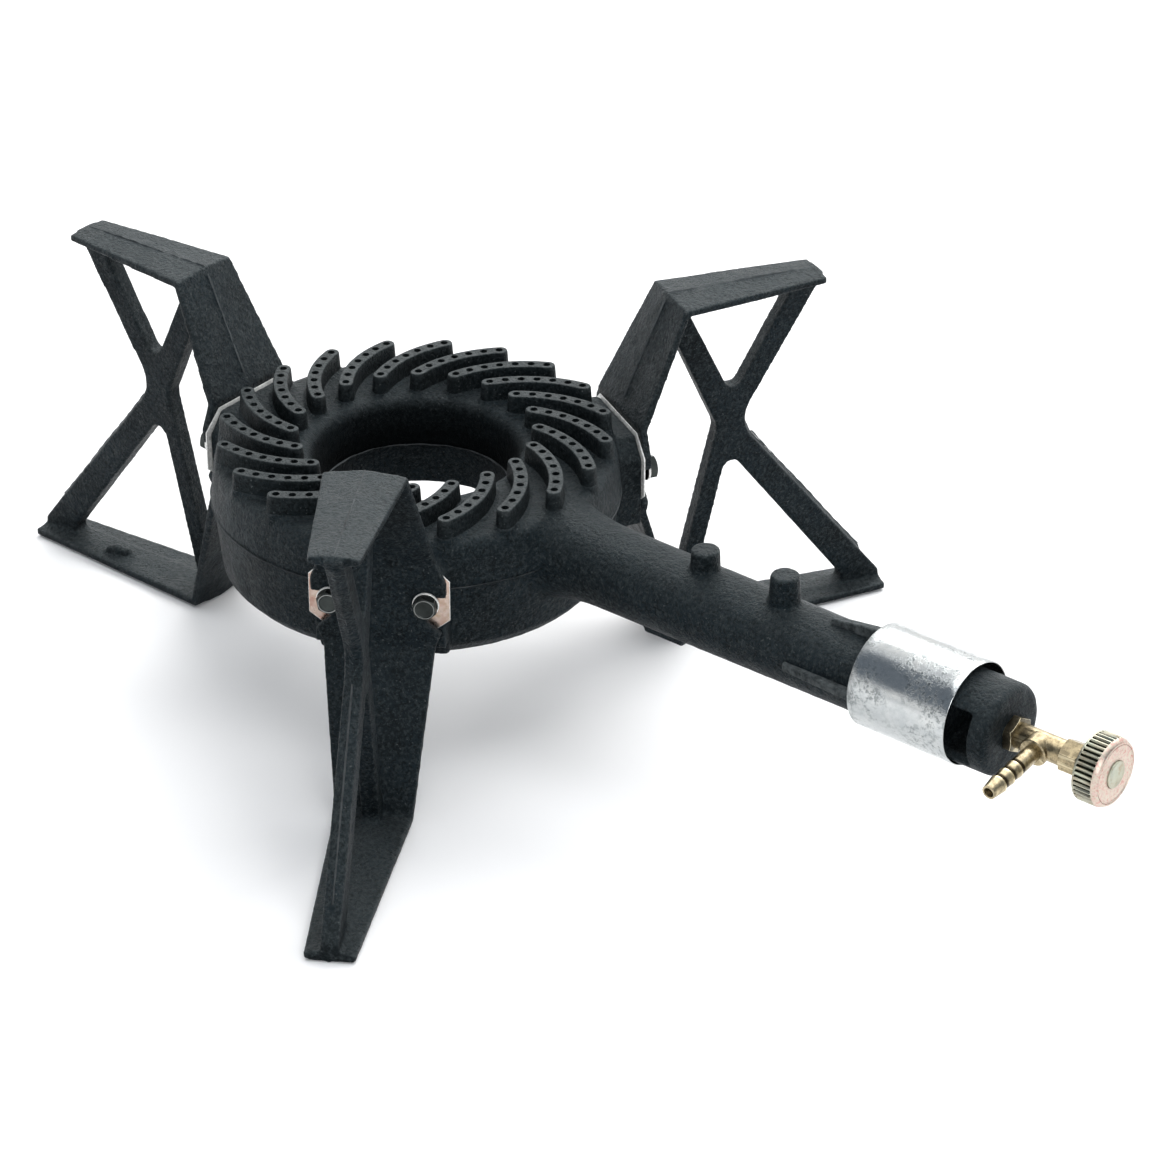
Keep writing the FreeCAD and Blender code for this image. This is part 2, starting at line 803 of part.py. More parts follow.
def valve_body():
    """Turned tee: stem through the head, branch for the hose nozzle, thread for the gland nut."""
    body = arm_turned([(stem_x, 0), (stem_x, stem_r - stem_chamfer), (stem_x + stem_chamfer, stem_r),
                       (valve_shoulder_x, stem_r), (valve_shoulder_x, valve_body_r),
                       (valve_body_end_x, valve_body_r), (valve_body_end_x, gland_thread_r),
                       (gland_thread_end_x, gland_thread_r), (gland_thread_end_x, 0)])
    branch = branch_turned([(0, 0), (0, branch_r), (branch_reach - branch_chamfer, branch_r),
                            (branch_reach, branch_r - branch_chamfer), (branch_reach, 0)])
    jet_hole_end_x = stem_x + jet_thread_length
    jet_socket_r = jet_thread_r + thread_clearance
    bore = arm_turned([(stem_x - 1, 0), (stem_x - 1, jet_socket_r), (jet_hole_end_x, jet_socket_r),
                       (jet_hole_end_x, seat_r), (seat_x, seat_r), (seat_x, valve_bore_r),
                       (gland_thread_end_x + 1, valve_bore_r), (gland_thread_end_x + 1, 0)])
    socket_start = branch_reach - nozzle_thread_length
    socket_r = nozzle_thread_r + thread_clearance
    socket = branch_turned([(0, 0), (0, branch_bore_r), (socket_start, branch_bore_r),
                            (socket_start, socket_r), (branch_reach + 1, socket_r),
                            (branch_reach + 1, 0)])
    return body.fuse(branch).cut([bore, socket]).removeSplitter()


def gas_jet():
    """Small jet screwed into the inner end of the stem."""
    hex_x0 = stem_x - jet_hex_length
    nose_x = hex_x0 - jet_nose_length
    thread_end_x = stem_x + jet_thread_length
    thread = rod_x(jet_thread_r, stem_x, thread_end_x)
    nose = arm_turned([(nose_x, 0), (nose_x, jet_nose_r), (hex_x0, jet_nose_base_r), (hex_x0, 0)])
    jet = hex_x(jet_hex_flats, hex_x0, stem_x, jet_hex_chamfer).fuse([thread, nose])
    hole = rod_x(jet_hole_r, nose_x - 1, hex_x0)
    return jet.cut([hole, rod_x(seat_r, hex_x0 - 1, thread_end_x + 1)])


def hose_nozzle():
    """Barbed nozzle that the gas hose is pushed over; each barb is sharp towards the valve."""
    start = branch_reach - nozzle_thread_length
    points = [(start, nozzle_bore_r), (start, nozzle_thread_r), (branch_reach, nozzle_thread_r),
              (branch_reach, nozzle_shank_r)]
    land_r = nozzle_shank_r
    for k in range(nozzle_crest_count):
        crest = nozzle_first_crest + k * nozzle_crest_pitch
        points.append((crest - nozzle_groove_width, land_r))
        points.append((crest - nozzle_groove_width / 2, nozzle_groove_r))
        points.append((crest, nozzle_crest_r))
        land_r = nozzle_land_r
    points.append((nozzle_tip, nozzle_tip_r))
    points.append((nozzle_tip, nozzle_bore_r))
    return branch_turned(points)


def gland_nut():
    """Nut that presses the packing round the spindle."""
    x0 = valve_body_end_x + part_clearance
    cavity = gland_thread_end_x + packing_length
    outer = hex_x(gland_flats, x0, gland_hex_end_x, gland_chamfer)
    outer = outer.fuse(rod_x(gland_neck_r, gland_hex_end_x - 1, gland_end_x))
    bore = arm_turned([(x0 - 1, 0), (x0 - 1, gland_bore_r), (cavity, gland_bore_r),
                       (cavity, spindle_hole_r), (gland_end_x + 1, spindle_hole_r),
                       (gland_end_x + 1, 0)])
    return outer.cut(bore)


def gland_packing():
    x1 = gland_thread_end_x + packing_length
    ring = rod_x(gland_thread_r, gland_thread_end_x, x1)
    return ring.cut(rod_x(spindle_hole_r, gland_thread_end_x - 1, x1 + 1))


def valve_spindle():
    """Needle, thread and shaft that the knob turns."""
    tip_x = seat_x - spindle_needle_depth
    body_x = tip_x + spindle_needle_length
    return arm_turned([(tip_x, 0), (tip_x, spindle_tip_r), (body_x, spindle_needle_r),
                       (spindle_thread_start_x, spindle_needle_r), (spindle_thread_start_x, spindle_thread_r),
                       (spindle_thread_end_x, spindle_thread_r), (spindle_thread_end_x, spindle_r),
                       (spindle_end_x, spindle_r), (spindle_end_x, 0)])


def knob_outline(x):
    """Fluted outline of the knob: a flat land and a V-shaped flute, over and over."""
    pitch = 2 * math.pi / flute_count
    half = flute_width / 2 / knob_r
    spots = []
    for k in range(flute_count):
        middle = pitch * k
        spots += [(knob_r, middle - half), (knob_r - flute_depth, middle), (knob_r, middle + half)]
    points = [V(x, r * math.sin(a), arm_z + r * math.cos(a)) for r, a in spots]
    return Part.makePolygon(points + [points[0]])


def knob_rim():
    """Fluted knob body between two plain rims, with a hollow back and a seat for the dial."""
    x0 = knob_back_x
    x1 = knob_front_x
    flute_x0 = x0 + knob_back_rim
    flute_x1 = x1 - knob_front_rim
    body = Part.Face(knob_outline(flute_x0)).extrude(V(flute_x1 - flute_x0, 0, 0))
    front = arm_turned([(flute_x1, 0), (flute_x1, knob_r), (x1 - knob_face_slope, knob_r),
                        (x1, knob_face_r), (x1, 0)])
    body = body.fuse([rod_x(knob_r, x0, flute_x0), front])
    return body.cut([rod_x(knob_recess_r, x0 - 1, x0 + knob_recess_depth),
                     rod_x(spindle_hole_r, x0, spindle_end_x + part_clearance),
                     rod_x(dial_r + dial_clearance, x1 - dial_thickness, x1 + 1)])


def knob_dial():
    x0 = knob_front_x - dial_thickness
    disc = rod_x(dial_r, x0, knob_front_x)
    return disc.cut(rod_x(dial_hole_r, x0 - 1, knob_front_x + 1))


def knob_cap():
    x0 = knob_front_x - dial_thickness
    x1 = x0 + cap_height
    return arm_turned([(x0, 0), (x0, cap_r), (x1 - cap_chamfer, cap_r), (x1, cap_r - cap_chamfer),
                       (x1, 0)])


# ---------------------------------------------------------------- assembly

def all_parts():
    parts = {"burner_casting": burner_casting()}
    leg = leg_solid()
    plate = shield_plate()
    offsets = (-bolt_spacing / 2, bolt_spacing / 2)
    washers = Part.makeCompound([washer(y) for y in offsets])
    bolts = Part.makeCompound([leg_bolt(y) for y in offsets])
    for name, angle in leg_angles().items():
        parts["leg_" + name] = around(leg, angle)
        parts["shield_plate_" + name] = around(plate, angle)
        parts["leg_washers_" + name] = around(washers, angle)
        parts["leg_bolts_" + name] = around(bolts, angle)
    parts["air_sleeve"] = air_sleeve()
    parts["gas_jet"] = gas_jet()
    parts["lock_nut"] = lock_nut()
    parts["valve_body"] = valve_body()
    parts["hose_nozzle"] = hose_nozzle()
    parts["gland_nut"] = gland_nut()
    parts["gland_packing"] = gland_packing()
    parts["valve_spindle"] = valve_spindle()
    parts["knob_rim"] = knob_rim()
    parts["knob_dial"] = knob_dial()
    parts["knob_cap"] = knob_cap()
    return parts


def plan_middle(parts):
    boxes = [shape.optimalBoundingBox(True, False) for shape in parts.values()]
    x = (min(b.XMin for b in boxes) + max(b.XMax for b in boxes)) / 2
    y = (min(b.YMin for b in boxes) + max(b.YMax for b in boxes)) / 2
    return x, y


def main():
    os.makedirs("parts", exist_ok=True)
    parts = all_parts()
    x, y = plan_middle(parts)
    print("ring axis at", round(-x, 3), round(-y, 3))
    for name, shape in parts.items():
        shape.translate(V(-x, -y, 0))
        shape.exportStep("parts/" + name + ".step")
        print(name, len(shape.Solids), round(shape.Volume, 1), shape.isValid())


main()
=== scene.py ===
import math

import bmesh
import bpy
from mathutils import Matrix, Vector

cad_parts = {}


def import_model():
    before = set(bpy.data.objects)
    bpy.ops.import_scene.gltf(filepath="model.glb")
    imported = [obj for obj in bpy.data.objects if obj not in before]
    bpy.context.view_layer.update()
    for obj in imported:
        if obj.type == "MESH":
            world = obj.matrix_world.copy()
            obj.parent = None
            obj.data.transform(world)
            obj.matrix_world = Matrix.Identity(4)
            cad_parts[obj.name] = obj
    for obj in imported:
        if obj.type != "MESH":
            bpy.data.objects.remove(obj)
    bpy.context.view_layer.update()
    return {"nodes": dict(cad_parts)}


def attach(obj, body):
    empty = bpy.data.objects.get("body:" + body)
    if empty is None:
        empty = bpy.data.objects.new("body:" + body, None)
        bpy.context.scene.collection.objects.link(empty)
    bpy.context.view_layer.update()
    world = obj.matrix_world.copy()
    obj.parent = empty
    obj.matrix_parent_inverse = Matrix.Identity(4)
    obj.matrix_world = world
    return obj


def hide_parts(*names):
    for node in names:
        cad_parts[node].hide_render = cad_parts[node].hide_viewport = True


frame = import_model()

# Cast-iron gas burner for stock pots: a ported ring on three bolted legs, with a gas arm, an air
# sleeve and a brass valve. The solids of the valve are kept; the other pieces are made here.

MM = 0.001
SAND_WAVE = 0.006  # metres; size of the waves on a casting

# Sizes that several pieces share: millimetres from the ring's axis on the floor, and degrees
RING_X, RING_Y = -98.073, -6.878  # where the ring's axis stands in the frame
LEG_PHASE = 2.7
LEGS = {"front": LEG_PHASE - 60, "right": LEG_PHASE + 60, "left": LEG_PHASE + 180}
ARM_Z = 135.5
RING_TOP = 163.5
PARTING_Z = 134.0

RIBS, PORTS = 20, 7
RIB_PHASE = -3.0
RIB_ANGLES = [RIB_PHASE + 360.0 * k / RIBS for k in range(RIBS)]
RIB_SWEEP = 25.5
RIB_TOP = 176.5
ARC_R = 75.0
PORT_OUT_R, PORT_IN_R = 116.5, 76.0
PORT_D = 4.6

BOSS_R, BOSS_BACK_R = 134.0, 96.0
BOSS_HALF, BOSS_CORNER = 39.0, 10.0
BOSS_TOE_Z, BOSS_LOW, BOSS_HIGH = 90.0, 101.0, 158.5
TOE_BACK = 12.0
PLATE_HALF, PLATE_LOW, PLATE_HIGH = 42.0, 111.0, 159.5
PLATE_CORNER, PLATE_TOP_CORNER, PLATE_LOW_CORNER = 13.0, 12.5, 10.5
WEB_HALF = 5.5

BOLT_Y = 28.5
BOLT_FLATS, BOLT_HEAD, BOLT_SEAT = 13.0, 5.3, 141.6
WASHER_THICK = 1.6

HEAD_R, HEAD_BORE_R = 27.6, 22.0
SLEEVE_BACK, SLEEVE_FRONT, SLEEVE_R, SLEEVE_SHEET = 353.2, 419.8, 31.0, 0.8
SLEEVE_LIFT = 2.0
NOZZLE_X, NOZZLE_DIP = 465.0, 8.0
KNOB_BACK, KNOB_FRONT, KNOB_R = 498.0, 513.6, 20.5


# ------------------------------------------------------------------ mesh helpers

def make(name, verts, faces, body, material):
    """New mesh object from points in millimetres about the ring's axis."""
    mesh = bpy.data.meshes.new(name)
    mesh.from_pydata([((x + RING_X) * MM, (y + RING_Y) * MM, z * MM) for x, y, z in verts],
                     [], faces)
    mesh.validate()
    bm = bmesh.new()
    bm.from_mesh(mesh)
    bmesh.ops.recalc_face_normals(bm, faces=bm.faces)
    bm.to_mesh(mesh)
    bm.free()
    obj = bpy.data.objects.new(name, mesh)
    bpy.context.scene.collection.objects.link(obj)
    if material:
        mesh.materials.append(material)
    if body:
        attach(obj, body)
    return obj


def shade(obj, angle):
    """Smooth shading, with edges sharper than the angle left sharp."""
    mesh = obj.data
    mesh.polygons.foreach_set("use_smooth", [True] * len(mesh.polygons))
    mesh.set_sharp_from_angle(angle=math.radians(angle))
    mesh.update()
    return obj


def edged(obj, material, test):
    """Gives another material to the faces whose index and centre in millimetres pass the test."""
    mesh = obj.data
    mesh.materials.append(material)
    for face in mesh.polygons:
        if test(face.index, face.center / MM):
            face.material_index = len(mesh.materials) - 1


def baked(obj):
    """Applies the object's modifiers to its mesh."""
    graph = bpy.context.evaluated_depsgraph_get()
    mesh = bpy.data.meshes.new_from_object(obj.evaluated_get(graph))
    old = obj.data
    obj.modifiers.clear()
    obj.data = mesh
    bpy.data.meshes.remove(old)


def lathe(points, segments, start=0.0, sweep=360.0):
    """Closed solid turned about Z from a closed outline of (radius, z) points."""
    whole = abs(sweep - 360.0) < 1e-6
    count = segments if whole else segments + 1
    verts, faces = [], []
    n = len(points)
    for k in range(count):
        a = math.radians(start + sweep * k / segments)
        verts += [(r * math.cos(a), r * math.sin(a), z) for r, z in points]
    for k in range(segments):
        i, j = k * n, ((k + 1) % count) * n
        for p in range(n):
            q = (p + 1) % n
            faces.append((i + p, i + q, j + q, j + p))
    if not whole:
        faces.append(tuple(range(n)))
        faces.append(tuple(reversed(range(segments * n, segments * n + n))))
    return verts, faces


def loft(sections):
    """Closed solid through outlines with equal numbers of points; its two ends come first."""
    n = len(sections[0])
    verts = [p for section in sections for p in section]
    faces = [tuple(reversed(range(n))), tuple(range(len(verts) - n, len(verts)))]
    for k in range(len(sections) - 1):
        i, j = k * n, (k + 1) * n
        faces += [(i + p, i + (p + 1) % n, j + (p + 1) % n, j + p) for p in range(n)]
    return verts, faces


def along_x(shape, z=ARM_Z):
    """Turns a shape made about Z so that its axis runs along the arm."""
    verts, faces = shape
    return [(w, v, z - u) for u, v, w in verts], faces


def radial(shape):
    """Turns a shape made about Z so that it points out from the ring along X."""
    verts, faces = shape
    return [(z, y, -x) for x, y, z in verts], faces


def turned(shape, angle):
    """Turns a shape about the ring's axis."""
    verts, faces = shape
    c, s = math.cos(math.radians(angle)), math.sin(math.radians(angle))
    return [(x * c - y * s, x * s + y * c, z) for x, y, z in verts], faces


def moved(shape, dx, dy=0.0, dz=0.0):
    """Shifts a shape."""
    verts, faces = shape
    return [(x + dx, y + dy, z + dz) for x, y, z in verts], faces


def joined(shapes):
    """Puts several shapes in one; they may overlap."""
    verts, faces = [], []
    for v, f in shapes:
        base = len(verts)
        verts += v
        faces += [tuple(base + i for i in face) for face in f]
    return verts, faces


def arc_points(cx, cy, radius, start, end, steps):
    """Points on a circle between two angles, both included."""
    out = []
    for k in range(steps + 1):
        a = math.radians(start + (end - start) * k / steps)
        out.append((cx + radius * math.cos(a), cy + radius * math.sin(a)))
    return out


def cast(obj, voxel, rounds, lump):
    """Blends overlapping shapes, softens the edges and adds the waviness of a sand mould."""
    remesh = obj.modifiers.new("blend", "REMESH")
    remesh.mode = "VOXEL"
    remesh.voxel_size = voxel * MM
    soft = obj.modifiers.new("soften", "SMOOTH")
    soft.factor = 0.5
    soft.iterations = rounds
    clouds = bpy.data.textures.new(obj.name + "_waves", "CLOUDS")
    clouds.noise_scale = SAND_WAVE
    clouds.noise_depth = 3
    wave = obj.modifiers.new("waves", "DISPLACE")
    wave.texture = clouds
    wave.texture_coords = "GLOBAL"
    wave.strength = lump * MM
    wave.mid_level = 0.5
    bpy.context.view_layer.update()
    baked(obj)
    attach(obj, "burner")
    return shade(obj, 50)


# ------------------------------------------------------------------ shader helpers

def nodes_of(name):
    """New material, its node tree and its shader."""
    material = bpy.data.materials.new(name)
    material.use_nodes = True
    tree = material.node_tree
    return material, tree, tree.nodes["Principled BSDF"]


def coords(tree):
    return tree.nodes.new("ShaderNodeTexCoord").outputs["Object"]


def noise(tree, scale, detail=4.0, rough=0.6, stretch=None, offset=0.0):
    """Noise with `scale` grains in a metre; the offset gives each use its own pattern."""
    node = tree.nodes.new("ShaderNodeTexNoise")
    node.inputs["Scale"].default_value = scale
    node.inputs["Detail"].default_value = detail
    node.inputs["Roughness"].default_value = rough
    source = coords(tree)
    if stretch or offset:
        mapping = tree.nodes.new("ShaderNodeMapping")
        mapping.inputs["Scale"].default_value = stretch or (1, 1, 1)
        mapping.inputs["Location"].default_value = (offset, offset * 0.7, offset * 1.3)
        tree.links.new(source, mapping.inputs["Vector"])
        source = mapping.outputs["Vector"]
    tree.links.new(source, node.inputs["Vector"])
    return node.outputs["Fac"]


def ramp(tree, value, stops):
    """Colours at places along a value."""
    node = tree.nodes.new("ShaderNodeValToRGB")
    elements = node.color_ramp.elements
    while len(elements) < len(stops):
        elements.new(0.5)
    for element, (place, colour) in zip(elements, stops):
        element.position = place
        element.color = colour + (1.0,)
    tree.links.new(value, node.inputs["Fac"])
    return node.outputs["Color"]


def mixed(tree, factor, a, b):
    """Blend of two colours, each a tuple or a socket."""
    node = tree.nodes.new("ShaderNodeMix")
    node.data_type = "RGBA"
    tree.links.new(factor, node.inputs[0])
    for socket, value in ((node.inputs[6], a), (node.inputs[7], b)):
        if isinstance(value, tuple):
            socket.default_value = value + (1.0,)
        else:
            tree.links.new(value, socket)
    return node.outputs[2]


def ranged(tree, value, low, high, out_low, out_high):
    """The value's range from low to high carried over to another range, and held there."""
    node = tree.nodes.new("ShaderNodeMapRange")
    for socket, number in zip(node.inputs[1:5], (low, high, out_low, out_high)):
        socket.default_value = number
    tree.links.new(value, node.inputs[0])
    return node.outputs[0]


def combined(tree, operation, a, b):
    """One value made of two, such as their product or the larger one."""
    node = tree.nodes.new("ShaderNodeMath")
    node.operation = operation
    tree.links.new(a, node.inputs[0])
    tree.links.new(b, node.inputs[1])
    return node.outputs[0]


def product(tree, a, b):
    return combined(tree, "MULTIPLY", a, b)


def vector_math(tree, operation, source, other=None):
    node = tree.nodes.new("ShaderNodeVectorMath")
    node.operation = operation
    tree.links.new(source, node.inputs[0])
    if other:
        node.inputs[1].default_value = other
    return node.outputs["Value" if operation in ("LENGTH", "DOT_PRODUCT") else "Vector"]


def z_of(tree, vector):
    """Height part of a vector."""
    parts = tree.nodes.new("ShaderNodeSeparateXYZ")
    tree.links.new(vector, parts.inputs[0])
    return parts.outputs["Z"]


def bumps(tree, shader, layers):
    """Chains (height, distance in metres, strength) layers into the shader's normal."""
    previous = None
    for height, distance, strength in layers:
        node = tree.nodes.new("ShaderNodeBump")
        node.inputs["Distance"].default_value = distance
        node.inputs["Strength"].default_value = strength
        tree.links.new(height, node.inputs["Height"])
        if previous:
            tree.links.new(previous, node.inputs["Normal"])
        previous = node.outputs["Normal"]
    tree.links.new(previous, shader.inputs["Normal"])


def surface(tree, shader, base, rough, metal=0.0):
    """Gives the shader its colour and roughness, both sockets, and its share of metal."""
    tree.links.new(base, shader.inputs["Base Color"])
    tree.links.new(rough, shader.inputs["Roughness"])
    shader.inputs["Metallic"].default_value = metal


def edge_wear(tree):
    """Bright on edges that stick out, from the mesh's pointiness."""
    return tree.nodes.new("ShaderNodeNewGeometry").outputs["Pointiness"]


def facing_up(tree, low, high, out_low, out_high):
    """A value that grows as the surface turns towards the sky."""
    normal = tree.nodes.new("ShaderNodeNewGeometry").outputs["Normal"]
    return ranged(tree, z_of(tree, normal), low, high, out_low, out_high)


def from_axis(tree):
    """Distance from the ring's axis, in metres."""
    away = vector_math(tree, "SUBTRACT", coords(tree), (RING_X * MM, RING_Y * MM, 0.0))
    return vector_math(tree, "LENGTH", vector_math(tree, "MULTIPLY", away, (1.0, 1.0, 0.0)))


def nozzle_place(tree):
    """Distance from the hose nozzle's axis and distance along it, in metres."""
    dip = math.radians(NOZZLE_DIP)
    axis = (0.0, -math.cos(dip), -math.sin(dip))
    start = ((RING_X + NOZZLE_X) * MM, RING_Y * MM, ARM_Z * MM)
    away = vector_math(tree, "SUBTRACT", coords(tree), start)
    across = vector_math(tree, "LENGTH", vector_math(tree, "CROSS_PRODUCT", away, axis))
    return across, vector_math(tree, "DOT_PRODUCT", away, axis)


def scaled(tint, factor):
    """The colour made darker or paler."""
    return tuple(c * factor for c in tint)


# ------------------------------------------------------------------ materials

# Colour of iron faces turned up: partly dust, partly painted light from above
IRON_TOP_DUST_AND_LIGHT = (0.020, 0.024, 0.026)
IRON_FLECK = (0.76, 0.94, 1.0)
IRON_SPECK = (0.14, 0.15, 0.15)
IRON_WORN = (0.085, 0.095, 0.097)
IRON_SHEEN = (0.78, 0.95, 1.0, 1.0)
# Painted shade inside the ring's throat
THROAT_PAINTED_SHADE = (0.0012, 0.0014, 0.0014)
THROAT_EDGE = (0.0600, 0.0680)      # metres from the ring's axis over which the painted shade fades
THROAT_PARTING = (0.1325, 0.1350)   # heights in metres between weaker and full painted shade
ZINC_CLOUDS = [(0.30, (0.41, 0.43, 0.44)), (0.5, (0.50, 0.52, 0.52)), (0.68, (0.58, 0.59, 0.58))]
ZINC_WORN = (0.22, 0.24, 0.24)
BRASS_WORN = (0.72, 0.63, 0.43)
# Painted highlight on the barbs' lips, and painted shadow in their grooves and behind a crest
BARB_LIP_HIGHLIGHT = (0.74, 0.64, 0.42)
BARB_PAINTED_SHADOW = (0.035, 0.027, 0.015)
BARB_LIP_R = (0.00525, 0.00545)     # metres from the nozzle's axis
BARB_GROOVE_R = (0.00482, 0.00498)
BARB_TIP = (0.0410, 0.0414)         # metres along the nozzle
BARB_BEHIND = ((0.0228, 0.0236), (0.0252, 0.0256))
PLATE_BANDS = [(0.30, (0.34, 0.27, 0.24)), (0.45, (0.44, 0.35, 0.30)), (0.56, (0.34, 0.21, 0.17)),
               (0.70, (0.26, 0.22, 0.20))]
KNOB_BANDS = [(0.28, (0.32, 0.37, 0.29)), (0.44, (0.44, 0.44, 0.35)), (0.58, (0.41, 0.39, 0.31)),
              (0.74, (0.35, 0.39, 0.33))]
FACE_BANDS = [(0.34, (0.52, 0.31, 0.27)), (0.44, (0.60, 0.47, 0.40)), (0.52, (0.54, 0.51, 0.42)),
              (0.60, (0.58, 0.41, 0.37)), (0.68, (0.56, 0.53, 0.45))]


def iron_material(name, tint, rough, grain=1.0, seed=0.0, top=IRON_TOP_DUST_AND_LIGHT, painted_throat_shade=False):
    """Black stoved paint over a rough sand casting."""
    material, tree, shader = nodes_of(name)
    large = noise(tree, 26.0, 3.0, 0.6, offset=seed)
    fine = noise(tree, 400.0, 5.0, 0.75, offset=seed)
    pits = noise(tree, 560.0, 3.0, 0.6, offset=seed + 7)
    specks = noise(tree, 760.0, 1.0, 0.4, offset=seed + 3)
    patches = noise(tree, 210.0, 4.0, 0.7, offset=seed)
    base = ramp(tree, large, [(0.32, scaled(tint, 0.4)), (0.52, tint), (0.72, scaled(tint, 1.5))])
    base = mixed(tree, ranged(tree, fine, 0.48, 0.60, 0.0, 0.9), base,
                 scaled(IRON_FLECK, 4.0 * tint[1]))
    # Faces turned up get a lighter colour: partly dust, partly painted light from above.
    dust_and_top_light = product(tree, facing_up(tree, 0.30, 0.95, 0.0, 1.0),
                    ranged(tree, fine, 0.40, 0.56, 0.05, 1.0))
    base = mixed(tree, dust_and_top_light, base, top)
    base = mixed(tree, ranged(tree, pits, 0.38, 0.47, 0.9, 0.0), base, scaled(tint, 0.2))
    base = mixed(tree, ranged(tree, specks, 0.70, 0.78, 0.0, 0.5), base, IRON_SPECK)
    worn = product(tree, ranged(tree, edge_wear(tree), 0.525, 0.60, 0.0, 0.9),
                   ranged(tree, patches, 0.36, 0.6, 0.1, 1.0))
    base = mixed(tree, worn, base, IRON_WORN)
    shine = facing_up(tree, -0.1, 0.85, 0.09, 0.34)
    # Painted shade inside the throat: darker colour and less sheen, weaker below the parting line.
    if painted_throat_shade:
        throat_shade_mask = product(tree, ranged(tree, from_axis(tree), *THROAT_EDGE, 0.9, 0.0),
                        ranged(tree, z_of(tree, coords(tree)), *THROAT_PARTING, 0.35, 1.0))
        base = mixed(tree, throat_shade_mask, base, THROAT_PAINTED_SHADE)
        shine = product(tree, shine, ranged(tree, throat_shade_mask, 0.0, 0.9, 1.0, 0.15))
    tree.links.new(shine, shader.inputs["Specular IOR Level"])
    shader.inputs["Specular Tint"].default_value = IRON_SHEEN
    surface(tree, shader, base, ranged(tree, noise(tree, 70.0, 4.0), 0.3, 0.75,
                                       rough - 0.1, rough + 0.12))
    bumps(tree, shader, [(noise(tree, 60.0, 2.0, 0.5, offset=seed), 0.0020, 0.5 * grain),
                         (noise(tree, 190.0, 3.0, 0.6, offset=seed + 5), 0.0020, 0.9 * grain),
                         (fine, 0.0025, 1.0 * grain),
                         (pits, 0.0013, 1.0 * grain)])
    return material


def zinc_sheet_material():
    """Bright galvanised sheet with cloudy stains and fine rolling lines."""
    material, tree, shader = nodes_of("galvanised_sheet")
    cloud = noise(tree, 70.0, 6.0, 0.72, offset=1.3)
    spots = noise(tree, 330.0, 5.0, 0.75, offset=4.0)
    where = noise(tree, 30.0, 2.0, 0.5, offset=8.0)
    lines = noise(tree, 900.0, 2.0, 0.5, stretch=(0.02, 1.0, 1.0))
    worn = product(tree, ranged(tree, spots, 0.49, 0.58, 0.0, 0.85),
                   ranged(tree, where, 0.42, 0.58, 0.15, 1.0))
    base = mixed(tree, worn, ramp(tree, cloud, ZINC_CLOUDS), ZINC_WORN)
    surface(tree, shader, base, ranged(tree, cloud, 0.3, 0.7, 0.22, 0.15), metal=1.0)
    bumps(tree, shader, [(cloud, 0.0003, 0.25), (worn, 0.00012, 0.6), (lines, 0.00005, 0.3)])
    return material


def yellow_zinc_material(name, stops, dull=0.0, stain=(0.30, 0.22, 0.14), scale=60.0):
    """Yellow passivated zinc, which shows faint bands of other colours."""
    material, tree, shader = nodes_of(name)
    bands = noise(tree, scale, 3.0, 0.6, offset=2.1)
    stains = ranged(tree, noise(tree, scale * 3.2, 5.0, 0.7), 0.5, 0.68, 0.0, 0.6)
    base = mixed(tree, stains, ramp(tree, bands, stops), stain)
    surface(tree, shader, base, ranged(tree, noise(tree, 240.0, 4.0), 0.3, 0.7,
                                       0.2 + dull, 0.38 + dull), metal=1.0)
    bumps(tree, shader, [(noise(tree, 500.0, 3.0), 0.0001, 0.35)])
    return material


def steel_material(name, tint, rough, metal=1.0):
    """Plated steel; with less metal it shows its own colour more."""
    material, tree, shader = nodes_of(name)
    base = ramp(tree, noise(tree, 130.0, 4.0, 0.6), [(0.3, scaled(tint, 0.6)), (0.7, tint)])
    surface(tree, shader, base, ranged(tree, noise(tree, 300.0, 4.0), 0.3, 0.7,
                                       rough - 0.06, rough + 0.12), metal)
    bumps(tree, shader, [(noise(tree, 700.0, 3.0), 0.00008, 0.4)])
    return material


def brass_material(name, tint=(0.40, 0.325, 0.20), rough=0.33, barbed=False):
    """Tarnished brass; on a barbed nozzle it has painted shadow in the grooves and behind a crest,
    and a painted highlight on the lips.
    """
    material, tree, shader = nodes_of(name)
    rings = noise(tree, 1400.0, 2.0, 0.5, stretch=(1.0, 0.03, 0.03))
    tarnish = ranged(tree, noise(tree, 230.0, 5.0, 0.75), 0.42, 0.58, 0.0, 0.9)
    base = mixed(tree, tarnish, tint, scaled(tint, 0.42))
    if barbed:
        across, along = nozzle_place(tree)
        # Painted highlight on the lips of the barbs.
        base = mixed(tree, ranged(tree, across, *BARB_LIP_R, 0.0, 0.8), base, BARB_LIP_HIGHLIGHT)
        # Painted shadow in the grooves, and in a band just behind a crest.
        groove_shadow = product(tree, ranged(tree, across, *BARB_GROOVE_R, 1.0, 0.0),
                          ranged(tree, along, *BARB_TIP, 1.0, 0.0))
        behind = product(tree, ranged(tree, along, *BARB_BEHIND[0], 0.0, 1.0),
                         ranged(tree, along, *BARB_BEHIND[1], 1.0, 0.0))
        for shadow in (groove_shadow, behind):
            base = mixed(tree, shadow, base, BARB_PAINTED_SHADOW)
    else:
        base = mixed(tree, ranged(tree, edge_wear(tree), 0.52, 0.6, 0.0, 0.6), base, BRASS_WORN)
    surface(tree, shader, base, ranged(tree, noise(tree, 300.0, 4.0), 0.3, 0.7,
                                       rough - 0.08, rough + 0.12), metal=1.0)
    bumps(tree, shader, [(rings, 0.00005, 0.4), (noise(tree, 260.0, 4.0), 0.00025, 0.5),
                         (noise(tree, 700.0, 3.0), 0.0001, 0.5)])
    return material


